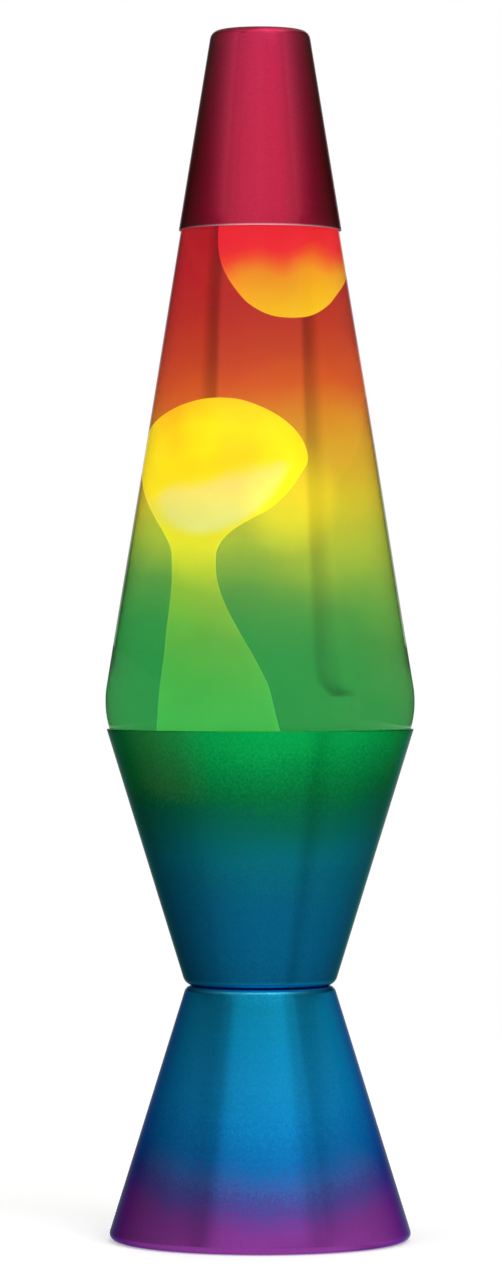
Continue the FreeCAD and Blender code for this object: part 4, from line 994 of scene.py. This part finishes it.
# Threaded pipe under the socket: 27 threads to the inch, drawn as they are
pipe = {"radius": 4.8, "bore": 3.4, "pitch": 0.94, "depth": 0.16, "skin": 0.05}
pipeLow, pipeHigh = (corner.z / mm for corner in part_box("socket_pipe"))
pipeCorners = [
    (pipe["bore"], pipeLow, 0.2),
    (pipe["radius"], pipeLow, 0.3),
    (pipe["radius"], pipeHigh, 0.3),
    (pipe["bore"], pipeHigh, 0.2),
]


def pipeRipple(angle, r, z):
    if r < pipe["radius"] - pipe["skin"]:
        return r
    return r + pipe["depth"] * (math.cos(2 * math.pi * z / pipe["pitch"] - angle) - 1)


turnPiece(
    "threadedPipe", pipeCorners, True, "pipe", "base", "zinc_steel", made["zincPlatedSteel"], ["socket_pipe"],
    ripple=pipeRipple, sharp=50,
)
print("threads cut")

# Crown closure: thin pressed sheet whose skirt waves in 21 flutes
crown = {
    "top": 358.4, "low": 352.2, "wall": 0.4, "topRadius": 14.2, "topBore": 13.75, "skirt": 14.8,
    "skirtBore": 14.4, "flutes": 21, "wave": 0.28, "fluteTop": 357.8, "fluteRun": 5.2, "flat": 12,
}


def crownRipple(angle, r, z):
    ease = min(max((crown["fluteTop"] - z) / crown["fluteRun"], 0), 1)
    return r + crown["wave"] * ease * math.cos(crown["flutes"] * angle) * (r > crown["flat"])


crownCorners = [
    (0, crown["top"] - crown["wall"], 0),
    (crown["topBore"], crown["top"] - crown["wall"], 0.8),
    (crown["skirtBore"], crown["low"], 0.12),
    (crown["skirt"], crown["low"], 0.12),
    (crown["topRadius"], crown["top"], 1.2),
    (0, crown["top"], 0),
]
turnPiece(
    "crownClosure", crownCorners, False, "crown", "globe", "crown_tinplate", made["pressedTinplate"],
    ["crown_cap"], ripple=crownRipple, sharp=50,
)

# Filament: coiled tungsten wire between the leads, glowing
filament = {"radius": 0.33, "wire": 0.10, "turns": 19, "steps": 16, "sides": 8, "ends": 0.1}
# Drawn tungsten at lamp heat: yellow-white, a little redder where the leads cool it
hotTungsten, tree, shader = newMaterial(
    "coiledTungstenGlowing", Base_Color="#6B645C", Metallic=1.0, Roughness=0.35, Emission_Strength=9.0
)
low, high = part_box("filament")
spot = addNode(tree, "SeparateXYZ", [addNode(tree, "TexCoord").outputs["Object"]])
share = addNode(tree, "MapRange", [spot.outputs["X"], low.x, high.x])
heat = addNode(
    tree, "ValToRGB", [share],
    [(0.0, "#FF8A3C"), (0.12, "#FFD08A"), (0.5, "#FFE3B0"), (0.88, "#FFD08A"), (1.0, "#FF8A3C")],
)
feed(shader, {"Emission Color": heat})
middle = (low + high) / 2 / mm
start = low.x / mm + filament["ends"]
span = (high.x - low.x) / mm - 2 * filament["ends"]
points = []
count = filament["turns"] * filament["steps"]
for i in range(count + 1):
    turn = 2 * math.pi * i / filament["steps"]
    ray = Vector((0, math.cos(turn), math.sin(turn)))
    centre = Vector((start + span * i / count, middle.y, middle.z)) + ray * filament["radius"]
    for side in range(filament["sides"]):
        around = 2 * math.pi * side / filament["sides"]
        wire = ray * math.cos(around) + Vector((1, 0, 0)) * math.sin(around)
        points.append(centre + filament["wire"] * wire)
faces = joinRings(count + 1, filament["sides"])
makePiece("coiledFilament", points, faces, "bulb", "tungsten", hotTungsten, ["filament"], sharp=60)
print("closure and filament made")
